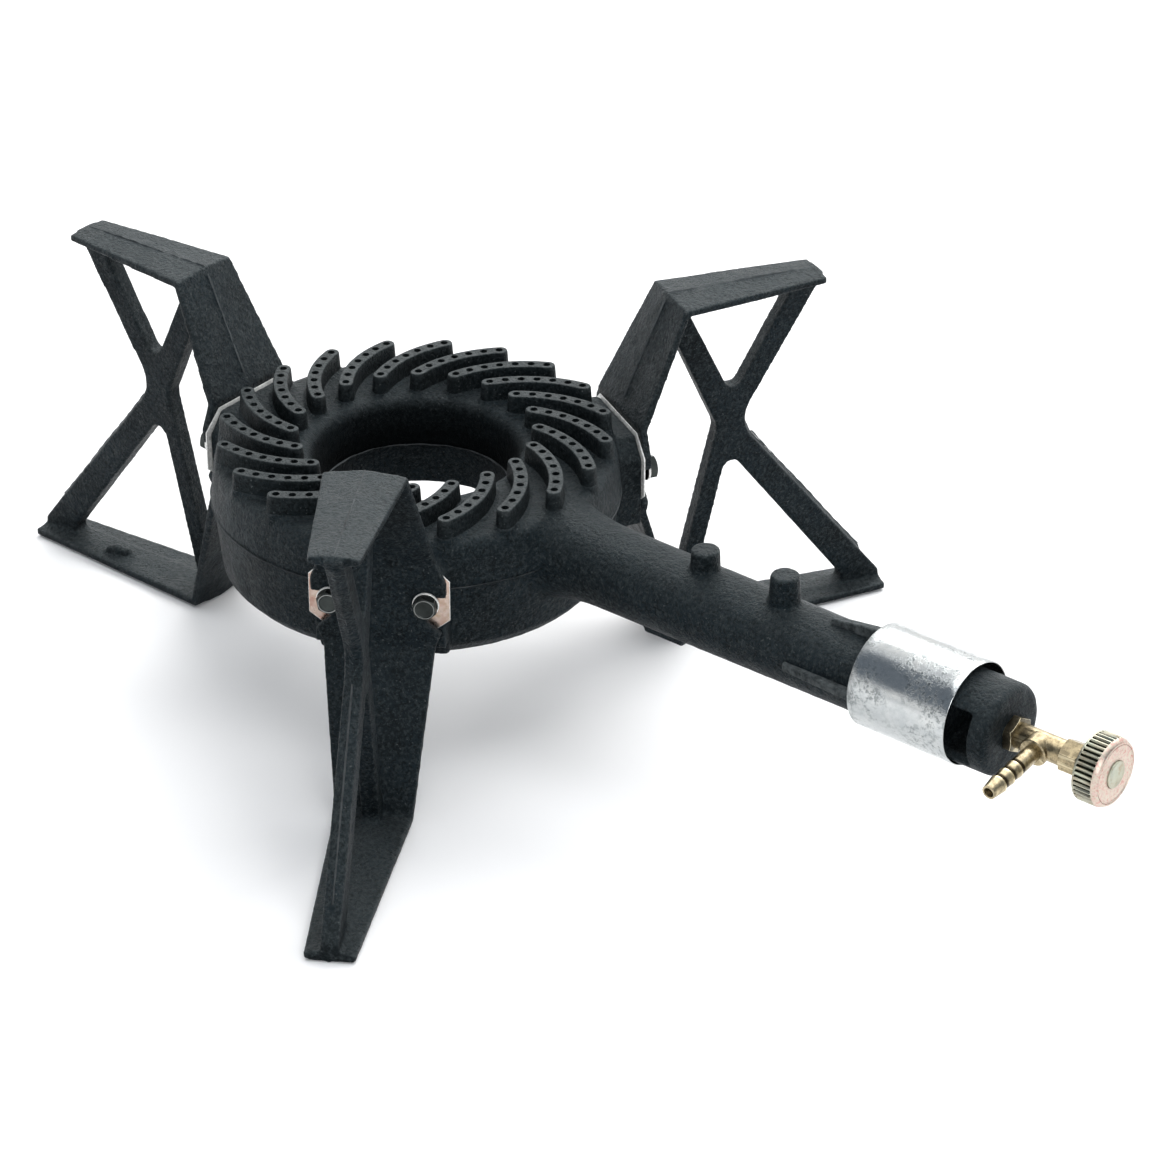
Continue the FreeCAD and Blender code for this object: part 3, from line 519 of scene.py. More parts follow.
def packing_material():
    """Dull black packing."""
    material, tree, shader = nodes_of("gland_packing_black")
    base = ramp(tree, noise(tree, 500.0), [(0.3, (0.02, 0.02, 0.02)), (0.7, (0.06, 0.06, 0.055))])
    surface(tree, shader, base, ranged(tree, noise(tree, 350.0), 0.3, 0.7, 0.6, 0.85))
    bumps(tree, shader, [(noise(tree, 1200.0), 0.0001, 0.5)])
    return material


# Each iron's top colour, on faces turned up, is partly dust and partly painted light from above.
iron_body = iron_material("black_iron_body", (0.0055, 0.0102, 0.0135), 0.46, painted_throat_shade=True)
# Darker copy of the body's iron: painted shade on the sides of the ribs, between them.
rib_iron_painted_shade = iron_material("black_iron_ribs_painted_shade", (0.0040, 0.0064, 0.0076), 0.48, grain=0.8, seed=4.0,
                          top=(0.038, 0.042, 0.042))
iron_legs = iron_material("black_iron_legs", (0.0050, 0.0092, 0.0125), 0.42, grain=0.9, seed=9.0,
                          top=(0.034, 0.041, 0.043))
# Darker copy of the iron, with a dark top: painted shade on the guides' sides.
guide_iron_painted_shade = iron_material("black_iron_guides_painted_shade", (0.0030, 0.0045, 0.0055), 0.5, grain=0.7,
                            seed=2.0, top=(0.010, 0.012, 0.013))
# Lighter than the iron: a painted highlight along the flash ridges.
flash_painted_highlight = steel_material("iron_flash_painted_highlight", (0.105, 0.115, 0.12), 0.5)
zinc_sheet = zinc_sheet_material()
plate_zinc = yellow_zinc_material("plate_zinc", PLATE_BANDS, dull=0.02)
knob_zinc = yellow_zinc_material("knob_zinc", KNOB_BANDS, dull=0.08)
knob_face = yellow_zinc_material("knob_face_zinc", FACE_BANDS, dull=0.10,
                                 stain=(0.40, 0.14, 0.12), scale=260.0)
# Painted shade in the knob's flutes.
knob_flute_painted_shade = steel_material("knob_flute_shade", (0.030, 0.034, 0.024), 0.5)
bolt_steel = steel_material("bolt_dark_steel", (0.050, 0.056, 0.054), 0.34)
# Painted highlight for thin edges: the plates' rims and the washers' outer rims.
painted_highlight_edge = steel_material("painted_highlight_edge", (0.88, 0.88, 0.85), 0.26, metal=0.25)
# Dimmer painted highlight for the rim of a bolt head's face.
dim_painted_highlight = steel_material("dim_painted_highlight", (0.30, 0.31, 0.30), 0.3)
brass = brass_material("turned_brass")
brass_nozzle = brass_material("barbed_brass", (0.50, 0.42, 0.27), barbed=True)
brass_dark = brass_material("dark_brass", (0.085, 0.072, 0.05))
# Pale brass of the jet and spindle, also the painted highlight on broken edges of brass parts.
pale_brass_and_edge_highlight = brass_material("pale_brass", (0.66, 0.58, 0.40), 0.26)
packing = packing_material()


# ------------------------------------------------------------------ burner casting

# Half width of a rib and height
RIB_ROWS = [(6.1, 150.5), (5.7, 158.0), (5.2, 166.0), (4.75, 173.0), (4.55, 175.5), (4.3, 176.2),
            (3.9, RIB_TOP)]
STUB_ROWS = [(6.8, 149.0), (6.4, 158.0), (5.6, RING_TOP + 2.2)]
DRILL_LOW, DRILL_HIGH = RING_TOP + 2.5, RIB_TOP + 2
# Radius and distance along the arm
ARM_OUTLINE = [(0, 108), (34, 108), (31.5, 118), (28.6, 128), (26.8, 138), (25.6, 148),
               (25.2, 160), (24.0, 372), (HEAD_R, 384), (HEAD_R, 403.5), (0, 403.5)]
WINDOW_BACK, WINDOW_FRONT, WALL_HALF = 402.0, 434.0, 52.0
CAP_BACK, CAP_SHOULDER, CAP_ROUND = 432.5, 440, 5
POSTS = ((226.5, 173.6, 9.3, 8.5), (284.7, 177.8, 10.4, 8.6))  # place, top, radius low and high
LUG = ((184, 212, 3.4, 103.0), (178, 218, 4.2, 116.0))         # two ends, half width, height
GUIDES = ((320, 0), (304, 90), (320, 180), (304, 270))         # start along the arm, angle
GUIDE_R, GUIDE_FOOT_R, GUIDE_GAP = 29.7, 21.5, 0.3
GUIDE_HALF, GUIDE_TOP_HALF, GUIDE_ROUND = 2.6, 1.9, 0.6
GUIDE_RISE, GUIDE_END = 350, 399                               # where the ramp is level, and ends


def rib_arc():
    """Centre of a rib's arc, and its angles at the outer and inner ports, in radians."""
    sweep = math.radians(RIB_SWEEP)
    outer = Vector((PORT_OUT_R, 0.0))
    inner = Vector((PORT_IN_R * math.cos(sweep), PORT_IN_R * math.sin(sweep)))
    chord = inner - outer
    normal = Vector((chord.y, -chord.x)).normalized()
    centre = (outer + inner) / 2 - normal * math.sqrt(ARC_R ** 2 - (chord.length / 2) ** 2)
    return centre, math.atan2(*(outer - centre).yx), math.atan2(*(inner - centre).yx)


def rib_section(half, z, past=0.8, steps=16, end_steps=9):
    """Curved strip with round ends, a little longer than the row of ports."""
    centre, a0, a1 = rib_arc()
    a0 -= past / ARC_R
    a1 += past / ARC_R

    def at(radius, angle):
        return centre.x + radius * math.cos(angle), centre.y + radius * math.sin(angle)

    points = [at(ARC_R + half, a0 + (a1 - a0) * k / steps) for k in range(steps + 1)]
    for end, way in ((a1, 1), (a0, -1)):
        cx, cy = at(ARC_R, end)
        for k in range(1, end_steps):
            t = math.pi * k / end_steps
            out = math.cos(t) * (half if way > 0 else -half)
            forward = math.sin(t) * half * way
            points.append((cx + out * math.cos(end) - forward * math.sin(end),
                           cy + out * math.sin(end) + forward * math.cos(end)))
        if way > 0:
            points += [at(ARC_R - half, a1 - (a1 - a0) * k / steps) for k in range(steps + 1)]
    return [(x, y, z) for x, y in points]


def port_shapes():
    """Round drills for the gas ports of one rib."""
    centre, a0, a1 = rib_arc()
    shapes = []
    for k in range(PORTS):
        a = a0 + (a1 - a0) * k / (PORTS - 1)
        x, y = centre.x + ARC_R * math.cos(a), centre.y + ARC_R * math.sin(a)
        circle = arc_points(x, y, PORT_D / 2, 0, 345, 23)
        shapes.append(loft([[(u, v, z) for u, v in circle] for z in (DRILL_LOW, DRILL_HIGH)]))
    return shapes


def ribs_object():
    """The twenty curved ribs, with a round gas port drilled at every place."""
    rib = loft([rib_section(half, z) for half, z in RIB_ROWS])
    obj = make("casting_ribs", *joined([turned(rib, a) for a in RIB_ANGLES]), None, rib_iron_painted_shade)
    drills = [turned(port, angle) for angle in RIB_ANGLES for port in port_shapes()]
    drill = make("drill", *joined(drills), None, None)
    cut = obj.modifiers.new("ports", "BOOLEAN")
    cut.operation = "DIFFERENCE"
    cut.solver = "EXACT"
    cut.object = drill
    bpy.context.view_layer.update()
    baked(obj)
    bpy.data.objects.remove(drill)
    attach(obj, "burner")
    return shade(obj, 32)


def clipped_top(half, high, width, corner):
    """Upper edge of a pad or plate with its two corners cut, as points (sideways, height)."""
    inner = half - width
    return [(half, high - corner), (inner, high), (-inner, high), (-half, high - corner)]


def boss_shape():
    """Pad that a leg is bolted to, with its toe sloping back to the ring."""
    outline = [(-BOSS_HALF, BOSS_TOE_Z), (BOSS_HALF, BOSS_TOE_Z)]
    outline += clipped_top(BOSS_HALF, BOSS_HIGH, BOSS_CORNER, PLATE_TOP_CORNER)
    rim = 1.2

    def front(z):
        if z > BOSS_LOW:
            return BOSS_R
        return BOSS_R - (BOSS_LOW - z) * TOE_BACK / (BOSS_LOW - BOSS_TOE_Z)

    shapes = []
    for inset, back in ((0.0, rim), (rim, 0.0)):
        section = [(y * (1 - inset / BOSS_HALF), min(z, BOSS_HIGH - inset)) for y, z in outline]
        shapes.append(loft([[(BOSS_BACK_R, y, z) for y, z in section],
                            [(front(z) - back, y, h) for (_, z), (y, h) in zip(outline, section)]]))
    side_top = BOSS_HIGH - PLATE_TOP_CORNER
    block = [(BOSS_BACK_R, BOSS_LOW), (BOSS_R, BOSS_LOW),
             (BOSS_R, side_top), (BOSS_BACK_R, side_top)]
    shapes.append(loft([[(x, y, z) for x, z in block] for y in (-BOSS_HALF, BOSS_HALF)]))
    return joined(shapes)


def guide_shape(start, angle):
    """Ramp along the arm that carries the air sleeve."""
    c, s = math.cos(math.radians(angle)), math.sin(math.radians(angle))
    high = GUIDE_R + SLEEVE_LIFT * c - GUIDE_GAP
    rows = []
    for x, r in ((start, 26.6), (start + 0.6, 27.1), (GUIDE_RISE, high), (GUIDE_END, high)):
        section = [(-GUIDE_HALF, GUIDE_FOOT_R), (GUIDE_HALF, GUIDE_FOOT_R), (2.5, r - GUIDE_ROUND),
                   (GUIDE_TOP_HALF, r), (-GUIDE_TOP_HALF, r), (-2.5, r - GUIDE_ROUND)]
        rows.append([(x, y * c - h * s, ARM_Z + y * s + h * c) for y, h in section])
    return loft(rows)


def guides_object():
    """The four ramps under the air sleeve, which stand crisply out of the arm."""
    shapes = [guide_shape(start, angle) for start, angle in GUIDES]
    obj = make("casting_guides", *joined(shapes), "burner", guide_iron_painted_shade)
    return shade(obj, 30)


def ring_shape():
    """The ring, with round shoulders and a step at the parting line, outside and in the throat."""
    outline = [(112, 83), (120.5, 92), (124.4, PARTING_Z - 1.2), (126.2, PARTING_Z + 0.2)]
    outline += arc_points(115.9, 156.0, 7.5, 6, 90, 6)
    outline += arc_points(71.5, 154.0, 9.5, 90, 184, 7)
    outline += [(58.8, 134.6), (60.2, 133.2), (61.8, 106)]
    return lathe(outline, 144)


def arm_shapes():
    """Gas arm, walls between the air windows, cap of the head, posts and lug."""
    near = 150  # closer to the ring than this the arm stays under the ring's top
    verts, faces = along_x(lathe(ARM_OUTLINE, 72))
    verts = [(x, y, min(z, RING_TOP - 0.6)) if x < near else (x, y, z) for x, y, z in verts]
    shapes = [(verts, faces)]
    wall = [(HEAD_BORE_R, WINDOW_BACK), (HEAD_R, WINDOW_BACK), (HEAD_R, WINDOW_FRONT),
            (HEAD_BORE_R, WINDOW_FRONT)]
    for middle in (0.0, 180.0):
        shapes.append(along_x(lathe(wall, 24, middle - WALL_HALF, 2 * WALL_HALF)))
    cap = [(0, CAP_BACK), (HEAD_R, CAP_BACK)]
    cap += [(HEAD_R - CAP_ROUND + CAP_ROUND * math.cos(math.radians(t)),
             CAP_SHOULDER + CAP_ROUND * math.sin(math.radians(t))) for t in (0, 20, 45, 70, 90)]
    cap += [(0, CAP_SHOULDER + CAP_ROUND)]
    shapes.append(along_x(lathe(cap, 72)))
    for x, top, low_r, high_r in POSTS:
        post = [(0, 148), (low_r, 148), (high_r, top - 0.8), (high_r - 0.8, top), (0, top)]
        shapes.append(moved(lathe(post, 40), x))
    shapes.append(loft([[(x, y, z) for x, y in ((a, -w), (b, -w), (b, w), (a, w))]
                        for a, b, w, z in LUG]))
    return shapes


def body_object():
    """Ring, pads, arm and head blended into one casting."""
    stub = loft([rib_section(half, z) for half, z in STUB_ROWS])
    shapes = [ring_shape()]
    shapes += [turned(boss_shape(), a) for a in LEGS.values()]
    shapes += [turned(stub, a) for a in RIB_ANGLES]
    shapes += arm_shapes()
    obj = make("casting_body", *joined(shapes), None, iron_body)
    return cast(obj, voxel=1.25, rounds=4, lump=0.45)


# ------------------------------------------------------------------ parting lines of the castings

def lip(radii, z, height):
    """Thin ring of flash round a turned wall, which wanders a little as flash does."""
    verts, faces = lathe([(radii[0], z - height), (radii[1], z), (radii[0], z + height)], 240)
    out = []
    for x, y, h in verts:
        a = math.atan2(y, x)
        wander = 0.18 * math.sin(7 * a + 1) + 0.14 * math.sin(17 * a) + 0.1 * math.sin(41 * a)
        grown = 1 + wander / math.hypot(x, y)
        out.append((x * grown, y * grown, h + 0.25 * math.sin(5 * a) + 0.15 * math.sin(23 * a)))
    return out, faces


def flash_path(points, width, height):
    """Thin ridge along (radius, height, way it faces) points in the plane of a leg."""
    sunk = 0.4
    rows = []
    for k, (r, z, nr, nz) in enumerate(points):
        tall = height * (0.55 + 0.3 * math.sin(2.3 * k) + 0.25 * math.sin(5.9 * k + 1))
        rows.append([(r - nr * sunk, -width / 2, z - nz * sunk),
                     (r - nr * sunk, width / 2, z - nz * sunk),
                     (r + nr * tall, 0.15 * math.sin(1.7 * k), z + nz * tall)])
    return loft(rows)


def along_line(start, end, step=4.0):
    """Points from start to end in the plane of a leg, each with the way its left side faces."""
    dr, dz = end[0] - start[0], end[1] - start[1]
    length = math.hypot(dr, dz)
    count = max(2, int(length / step))
    return [(start[0] + dr * k / count, start[1] + dz * k / count, -dz / length, dr / length)
            for k in range(count + 1)]


def casting_flash():
    """The parting line round the ring, outside and inside the throat."""
    shapes = [lip((124.8, 126.5), PARTING_Z, 0.5), lip((60.5, 58.2), PARTING_Z, 0.5)]
    obj = make("casting_flash", *joined(shapes), "burner", flash_painted_highlight)
    return shade(obj, 60)


# Start, end, lift, width and height of a leg's ridges: top bar, flange, upper and lower web
LEG_RIDGES = (((168.5, 235.9), (268.0, 235.9), 0.0, 1.8, 1.1),
              ((138.2, 170.2), (165.6, 231.8), 0.0, 1.8, 1.1),
              ((267.0, 227.0), (223.4, 155.0), 1.5, 1.2, 0.8),
              ((225.0, 128.0), (303.0, 29.5), 1.5, 1.2, 0.8))


def leg_flash(side):
    """The fine ridge that the mould's joint leaves along the middle of a leg."""
    shapes = []
    for start, end, lift, width, height in LEG_RIDGES:
        line = [(r + nr * lift, z + nz * lift, nr, nz) for r, z, nr, nz in along_line(start, end)]
        shapes.append(flash_path(line, width, height))
    obj = make("leg_flash_" + side, *turned(joined(shapes), LEGS[side]), "burner", flash_painted_highlight)
    return shade(obj, 60)


# ------------------------------------------------------------------ legs

# Outer edge of a leg's web as (radius, height), and the lump's blobs as (radius, sideways, size)
WEB_EDGE = [(268.0, 227.5), (223.0, 153.6), (218.6, 140.9), (224.0, 128.3), (304.0, 28.0)]
WEB_DRAFT = 1.9
LUMP = ((251.0, 7.5, 5.2), (244.5, 5.5, 3.8), (256.0, 9.0, 3.4))


def leg_extras(side):
    """Draft on the outer edge of the web, and a lump of metal left on one foot bar."""
    rows = []
    for k, (r, z) in enumerate(WEB_EDGE):
        (r0, z0), (r1, z1) = WEB_EDGE[max(k - 1, 0)], WEB_EDGE[min(k + 1, len(WEB_EDGE) - 1)]
        length = math.hypot(r1 - r0, z1 - z0)
        nr, nz = -(z1 - z0) / length, (r1 - r0) / length
        rows.append([(r - nr, -WEB_HALF, z - nz), (r - nr, WEB_HALF, z - nz),
                     (r + nr * WEB_DRAFT, 0.0, z + nz * WEB_DRAFT)])
    shapes = [loft(rows)]
    if side == "left":
        for r, y, size in LUMP:
            blob = [(0, 6), (size, 6), (size * 0.9, 8 + size * 0.4), (size * 0.5, 8 + size * 0.9),
                    (0, 8.3 + size)]
            shapes.append(moved(lathe(blob, 9), r, y))
    return joined(shapes)


def leg_object(side):
    """One leg, with the blended corners of a casting."""
    source = frame["nodes"]["leg_" + side]
    name = "leg_casting_" + side
    extras = make(name, *turned(leg_extras(side), LEGS[side]), None, iron_legs)
    bm = bmesh.new()
    bm.from_mesh(source.data)
    bmesh.ops.remove_doubles(bm, verts=bm.verts, dist=1e-5)
    bm.from_mesh(extras.data)
    bm.to_mesh(extras.data)
    bm.free()
    return cast(extras, voxel=1.1, rounds=3, lump=0.4)


body = body_object()
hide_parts("burner_casting")
for piece in (ribs_object(), guides_object(), casting_flash()):
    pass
for side in LEGS:
    leg = leg_object(side)
    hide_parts("leg_" + side)
    for piece in (leg, leg_flash(side)):
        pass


# ------------------------------------------------------------------ plates, bolts and washers

WASHER_OUTLINE = [(4.3, 0.1), (4.5, 0), (7.8, 0), (8.0, 0.2), (8.0, 1.1), (7.85, 1.4),
                  (7.5, WASHER_THICK), (4.5, WASHER_THICK), (4.3, 1.5)]
WASHER_RIM_R = 7.55
BOLT_TURN = 10        # degrees, so that the hexagons don't stand square
HEAD_FACE_R, HEAD_CHAMFER = 6.1, 0.55
HEAD_RIM, HEAD_RIM_DEEP = (5.5, 6.2), 0.4
# Radius and depth of the rings of points on a bolt's face, from its rim to its middle
HEAD_FACE = ((HEAD_FACE_R, 0.0), (5.6, 0.0), (5.2, 0.15), (4.9, 0.4), (1.0, 0.5))


def bolt_shape(y):
    """Hexagon head with a chamfered rim and a dished face."""
    r = BOLT_FLATS / math.sqrt(3)
    corners = [math.radians(60 * k + BOLT_TURN) for k in range(6)]
    hexagon = [(r * math.cos(a), r * math.sin(a)) for a in corners]
    ring = []
    for k in range(6):
        a, b = hexagon[k], hexagon[(k + 1) % 6]
        ring += [(a[0] + (b[0] - a[0]) * t / 4, a[1] + (b[1] - a[1]) * t / 4) for t in range(4)]
    reach = [math.hypot(px, py) for px, py in ring]

    def crown(limit, z):
        scales = [min(1.0, limit / d) for d in reach]
        return [(px * s, py * s, z) for (px, py), s in zip(ring, scales)]

    rows = [[(px, py, 0.0) for px, py in ring],
            [(px, py, BOLT_HEAD - max(0.0, d - HEAD_FACE_R) * HEAD_CHAMFER)
             for (px, py), d in zip(ring, reach)]]
    rows += [crown(limit, BOLT_HEAD - depth) for limit, depth in HEAD_FACE]
    return moved(radial(loft(rows)), BOLT_SEAT, y, PARTING_Z)


def washer_shape(y):
    """Flat washer between a leg and a bolt's head."""
    return moved(radial(lathe(WASHER_OUTLINE, 48)), BOLT_SEAT - WASHER_THICK, y, PARTING_Z)


def plate_shape():
    """Thin plate with clipped corners."""
    inner, side_low = PLATE_HALF - PLATE_CORNER, PLATE_LOW + PLATE_LOW_CORNER
    outline = [(-PLATE_HALF, side_low), (-inner, PLATE_LOW), (inner, PLATE_LOW),
               (PLATE_HALF, side_low)]
    outline += clipped_top(PLATE_HALF, PLATE_HIGH, PLATE_CORNER, PLATE_TOP_CORNER)
    middle, half_tall = (PLATE_LOW + PLATE_HIGH) / 2, 24.0
    rows = []
    for thick, inset in ((0.0, 0.25), (0.15, 0.0), (0.85, 0.0), (1.0, 0.25)):
        rows.append([(BOSS_R + thick, y * (1 - inset / PLATE_HALF),
                      middle + (z - middle) * (1 - inset / half_tall)) for y, z in outline])
    return loft(rows)


def from_bolt(centre, angle):
    """Distance from the nearer bolt's axis, and how far out from the ring's axis."""
    x, y = centre.x - RING_X, centre.y - RING_Y
    c, s = math.cos(math.radians(angle)), math.sin(math.radians(angle))
    return math.hypot(abs(y * c - x * s) - BOLT_Y, centre.z - PARTING_Z), x * c + y * s


def on_head_rim(centre, angle):
    """Whether a face lies on the rim round a bolt head's face, which gets a painted highlight."""
    away, out = from_bolt(centre, angle)
    return HEAD_RIM[0] < away < HEAD_RIM[1] and out > BOLT_SEAT + BOLT_HEAD - HEAD_RIM_DEEP


for side, angle in LEGS.items():
    offsets = (-BOLT_Y, BOLT_Y)
    heads = make("bolt_heads_" + side, *turned(joined([bolt_shape(y) for y in offsets]), angle),
                 "burner", bolt_steel)
    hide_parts("leg_bolts_" + side)
    rings = make("flat_washers_" + side, *turned(joined([washer_shape(y) for y in offsets]), angle),
                 "burner", bolt_steel)
    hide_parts("leg_washers_" + side)
    plate = make("plate_sheet_" + side, *turned(plate_shape(), angle), "burner", plate_zinc)
    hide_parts("shield_plate_" + side)
    # The plate's outer face is the loft's second end; all its other faces get a painted highlight
    edged(plate, painted_highlight_edge, lambda index, centre: index != 1)
    # Painted highlight round the washers' outer rims.
    edged(rings, painted_highlight_edge, lambda index, centre: from_bolt(centre, angle)[0] > WASHER_RIM_R)
    # Painted highlight on the rim of each bolt head's face.
    edged(heads, dim_painted_highlight, lambda index, centre: on_head_rim(centre, angle))
    for obj, slot in ((heads, "dark_steel"), (rings, "dark_steel"), (plate, "yellow_zinc")):
        shade(obj, 30)


# ------------------------------------------------------------------ air sleeve and knob

FLUTES, FLUTE_POINTS, FLUTE_DEPTH = 40, 10, 1.5
FRONT_RIM = 8  # row of the knob's outline where its front rim begins
DIAL_LOW, DIAL_SUNK = 0.6, 0.18


def sleeve_object():
    """Tube of thin sheet with rounded lips."""
    x0, x1, r, inner = SLEEVE_BACK, SLEEVE_FRONT, SLEEVE_R, SLEEVE_R - SLEEVE_SHEET
    steps = 12
    ring = [(inner, x0 + 0.3), (r - 0.6, x0), (r - 0.2, x0), (r, x0 + 0.3)]
    ring += [(r, x0 + (x1 - x0) * k / steps) for k in range(1, steps)]
    ring += [(r, x1 - 0.3), (r - 0.2, x1), (r - 0.6, x1), (inner, x1 - 0.3)]
    ring += [(inner, x1 - (x1 - x0) * k / steps) for k in range(1, steps)]
    tube = along_x(lathe(ring, 160), ARM_Z + SLEEVE_LIFT)
    obj = make("sleeve_sheet", *tube, "sleeve", zinc_sheet)
    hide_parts("air_sleeve")
    shade(obj, 40)


def knob_object():
    """Round knob with deep flutes between two plain rims."""
    x0, x1, r, deep = KNOB_BACK, KNOB_FRONT, KNOB_R, FLUTE_DEPTH
    count = FLUTES * FLUTE_POINTS
    # Share of a flute's depth at its points, from its middle out to one side and in from the other
    waves = [max(0.0, math.cos(math.pi * t / 6.6)) ** 0.7
             for t in (0, 1, 2, 3, 4, 5, -4, -3, -2, -1)]

    def section(x, radius, depth):
        out = []
        for k in range(count):
            a = 2 * math.pi * k / count
            rr = radius - depth * waves[k % FLUTE_POINTS]
            out.append((x, rr * math.sin(a), ARM_Z + rr * math.cos(a)))
        return out

    rows = [(x0, 13.5, 0), (x0, 19.9, 0), (x0 + 0.25, 20.3, 0), (x0 + 0.8, r, 0),
            (x0 + 1.4, r, 0.15), (x0 + 1.7, r, deep), (x1 - 3.9, r, deep),
            (x1 - 3.4, 20.45, deep * 0.6), (x1 - 3.0, 20.3, 0), (x1 - 1.8, 19.8, 0),
            (x1 - 0.7, 19.1, 0), (x1 - 0.15, 18.6, 0), (x1, 18.2, 0), (x1, 17.5, 0),
            (x1 - 0.5, 17.25, 0), (x1 - DIAL_LOW, 16.9, 0), (x1 - DIAL_LOW, 2.6, 0)]
    verts, faces = loft([section(*row) for row in rows])
    faces = faces[2:]  # the loft's ends stay open: the recess closes the back, the cap the front
    hollow = []
    for j in range(len(rows) - 1):
        fluted = rows[j][2] > 0.1 and rows[j + 1][2] > 0.1
        hollow += [fluted and waves[p % FLUTE_POINTS] + waves[(p + 1) % FLUTE_POINTS] > 1.2
                   for p in range(count)]
    recess = [(x0, 13.5), (x0 + 6.0, 13.2), (x0 + 6.0, 2.6)]
    base = len(verts)
    for x, radius in recess:
        verts += section(x, radius, 0)
    for j in range(len(recess) - 1):
        i, k = base + j * count, base + (j + 1) * count
        faces += [(k + p, k + (p + 1) % count, i + (p + 1) % count, i + p) for p in range(count)]
        hollow += [False] * count
    rim, last = FRONT_RIM * count, (len(rows) - 1) * count
    obj = make("knob_body", verts, faces, "knob", knob_zinc)
    # The flutes' hollow faces get painted shade.
    edged(obj, knob_flute_painted_shade, lambda index, centre: hollow[index])
    edged(obj, knob_face, lambda index, centre: rim <= index < last)
    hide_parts("knob_rim")
    shade(obj, 40)


def dial_object():
    """Face ring of the knob with a fine raised border."""
    x, low, sunk = KNOB_FRONT, KNOB_FRONT - DIAL_LOW, KNOB_FRONT - DIAL_SUNK
    ring = [(8.4, low), (17.1, low), (17.1, x - 0.1), (16.9, x), (16.4, x), (16.2, sunk),
            (9.3, sunk), (9.1, x), (8.6, x), (8.4, x - 0.1)]
    obj = make("knob_face_ring", *along_x(lathe(ring, 128)), "knob", knob_face)
    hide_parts("knob_dial")
    shade(obj, 30)


def cap_object():
    """Small cap in the middle of the knob."""
    x = KNOB_FRONT - DIAL_LOW
    ring = [(0.0, x), (8.2, x), (8.2, x + 0.9), (8.05, x + 1.25), (7.7, x + 1.45), (7.2, x + 1.5),
            (6.9, x + 1.35), (0.0, x + 1.3)]
    obj = make("knob_centre", *along_x(lathe(ring, 96)), "knob", knob_zinc)
    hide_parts("knob_cap")
    shade(obj, 30)


sleeve_object()
knob_object()
dial_object()
cap_object()


# ------------------------------------------------------------------ valve

# CAD node, material, width of its broken edges in millimetres, and material of those edges, which
# is a painted highlight where it is pale brass
VALVE = (("valve_body", brass, 0.3, pale_brass_and_edge_highlight),
         ("hose_nozzle", brass_nozzle, 0.12, brass_nozzle),
         ("lock_nut", brass_dark, 0.4, pale_brass_and_edge_highlight),
         ("gland_nut", brass, 0.3, pale_brass_and_edge_highlight),
         ("gas_jet", pale_brass_and_edge_highlight, 0.1, pale_brass_and_edge_highlight),
         ("gland_packing", packing, 0.1, packing),
         ("valve_spindle", pale_brass_and_edge_highlight, 0.08, pale_brass_and_edge_highlight))

for node, material, bevel, rim in VALVE:
    obj = frame["nodes"][node]
    obj.data.materials.clear()
    obj.data.materials.append(material)
    obj.data.materials.append(rim)
    weld = obj.modifiers.new("weld", "WELD")
    weld.merge_threshold = 1e-5
    edge = obj.modifiers.new("edges", "BEVEL")
    edge.width = bevel * MM
    edge.segments = 2
    edge.limit_method = "ANGLE"
    edge.angle_limit = math.radians(35)
    # The bevels take the second material: a painted highlight where it is pale brass.
    edge.material = 1


# ------------------------------------------------------------------ floor, light and camera

FLOOR_HALF = 9.0                  # metres
BRIGHT_WAY = (-0.35, 0.75, 0.56)  # behind and above the object
DIM_SKY, BRIGHT_SKY = (0.20, 0.23, 0.27), (1.2, 1.2, 1.2)
PHOTO_PIXELS, FOCAL_PIXELS, SENSOR = 1176, 4212.1, 36.0
CAMERA_AT = (1542.6, -1677.4, 1364.8)
CAMERA_TURN = (-39.951, -29.747, 0.085)  # yaw, pitch and roll


def floor():
    """Pale floor, flat and wide."""
    mesh = bpy.data.meshes.new("floor")
    size = FLOOR_HALF
    mesh.from_pydata([(-size, -size, 0), (size, -size, 0), (size, size, 0), (-size, size, 0)], [],
                     [(0, 1, 2, 3)])
    obj = bpy.data.objects.new("floor", mesh)
    bpy.context.scene.collection.objects.link(obj)
    material, tree, shader = nodes_of("pale_floor")
    base = ramp(tree, noise(tree, 0.8), [(0.3, (0.93, 0.93, 0.93)), (0.7, (0.95, 0.95, 0.95))])
    tree.links.new(base, shader.inputs["Base Color"])
    shader.inputs["Roughness"].default_value = 0.9
    shader.inputs["Specular IOR Level"].default_value = 0.1
    mesh.materials.append(material)


def lamp(name, place, aim, size, power):
    """Soft rectangular lamp that points at a place."""
    data = bpy.data.lights.new(name, "AREA")
    data.shape = "RECTANGLE"
    data.size, data.size_y = size
    data.energy = power
    obj = bpy.data.objects.new(name, data)
    bpy.context.scene.collection.objects.link(obj)
    obj.location = place
    obj.rotation_euler = (Vector(aim) - Vector(place)).to_track_quat("-Z", "Y").to_euler()


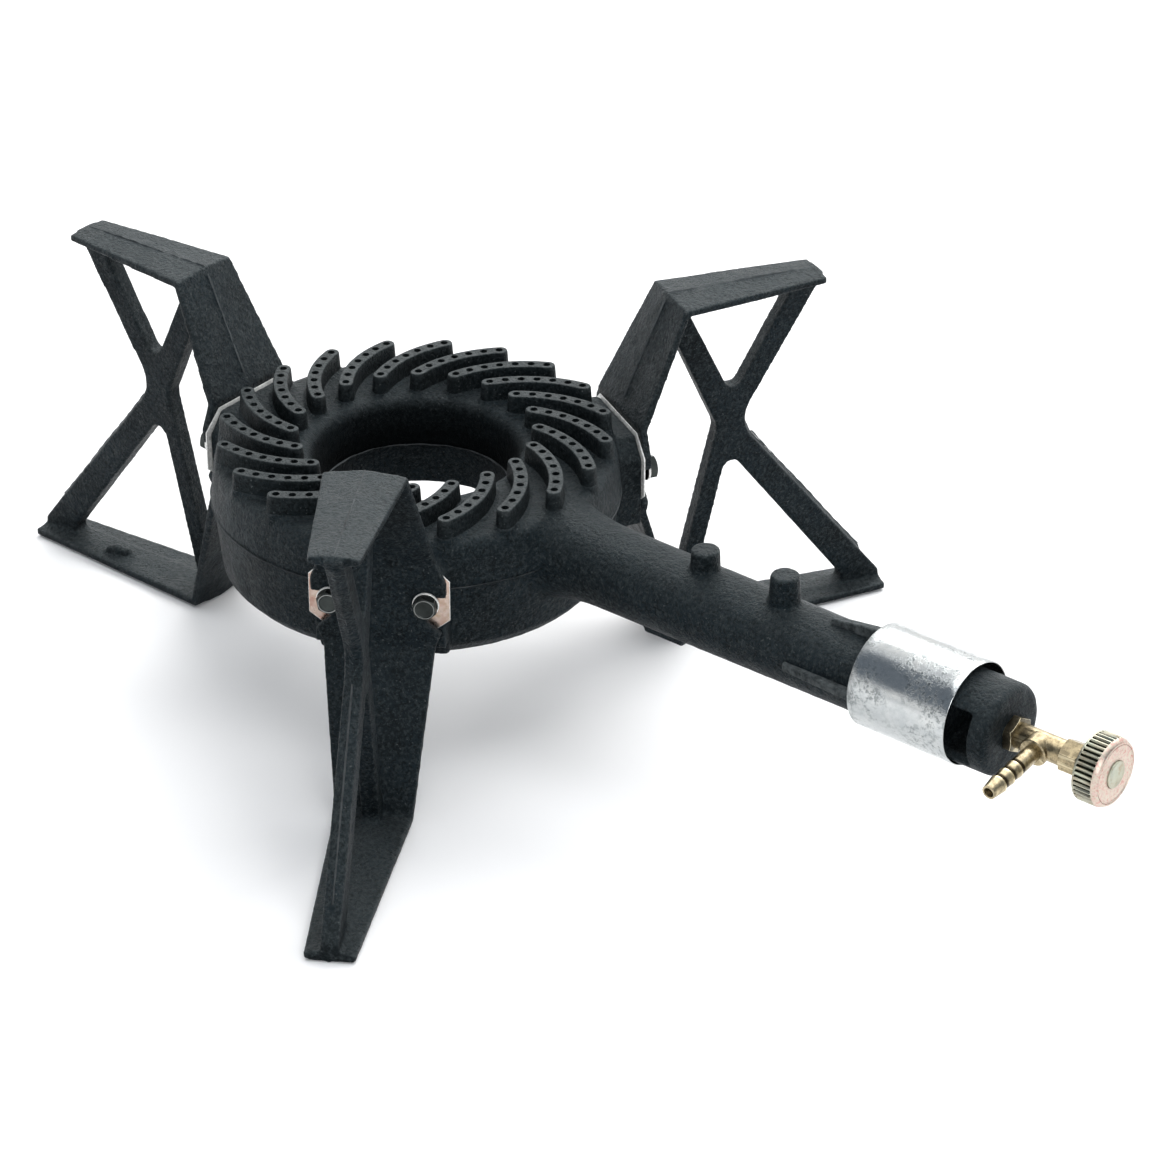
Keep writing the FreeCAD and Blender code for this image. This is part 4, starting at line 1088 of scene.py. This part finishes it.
def world():
    """Studio that is bright behind and above and round the floor, and dim above the camera."""
    scene = bpy.context.scene
    scene.world = scene.world or bpy.data.worlds.new("studio")
    scene.world.use_nodes = True
    tree = scene.world.node_tree
    way = tree.nodes.new("ShaderNodeTexCoord").outputs["Generated"]
    behind = ranged(tree, vector_math(tree, "DOT_PRODUCT", way, BRIGHT_WAY), 0.40, 0.72, 0.0, 1.0)
    low_band = ranged(tree, z_of(tree, way), 0.28, 0.10, 0.0, 1.0)
    shades = mixed(tree, combined(tree, "MAXIMUM", behind, low_band), DIM_SKY, BRIGHT_SKY)
    tree.links.new(shades, tree.nodes["Background"].inputs["Color"])
    tree.nodes["Background"].inputs["Strength"].default_value = 1.0


def camera():
    """Camera at the photograph's place, found from the photograph."""
    data = bpy.data.cameras.new("camera")
    obj = bpy.data.objects.new("camera", data)
    bpy.context.scene.collection.objects.link(obj)
    yaw, pitch, roll = (math.radians(a) for a in CAMERA_TURN)
    forward = Vector((math.sin(yaw) * math.cos(pitch), math.cos(yaw) * math.cos(pitch),
                      math.sin(pitch)))
    right = Vector((math.cos(yaw), -math.sin(yaw), 0.0))
    up = right.cross(forward)
    right, up = (right * math.cos(roll) + up * math.sin(roll),
                 up * math.cos(roll) - right * math.sin(roll))
    rotation = Matrix((right, up, -forward)).transposed()
    x, y, z = CAMERA_AT
    place = Vector(((x + RING_X) * MM, (y + RING_Y) * MM, z * MM))
    obj.matrix_world = Matrix.Translation(place) @ rotation.to_4x4()
    data.sensor_width = SENSOR
    data.lens = FOCAL_PIXELS / PHOTO_PIXELS * SENSOR
    data.clip_start, data.clip_end = 0.05, 50.0
    bpy.context.scene.camera = obj


floor()
world()
lamp("back", (-0.7, 1.9, 2.1), (0.0, 0.0, 0.1), (3.0, 1.8), 70.0)
lamp("top", (0.3, -0.1, 2.8), (0.1, 0.0, 0.1), (2.4, 2.0), 35.0)
lamp("front", (2.1, -1.7, 1.6), (0.1, -0.1, 0.0), (1.8, 1.4), 34.0)
camera()
bpy.context.scene.view_settings.view_transform = "Standard"
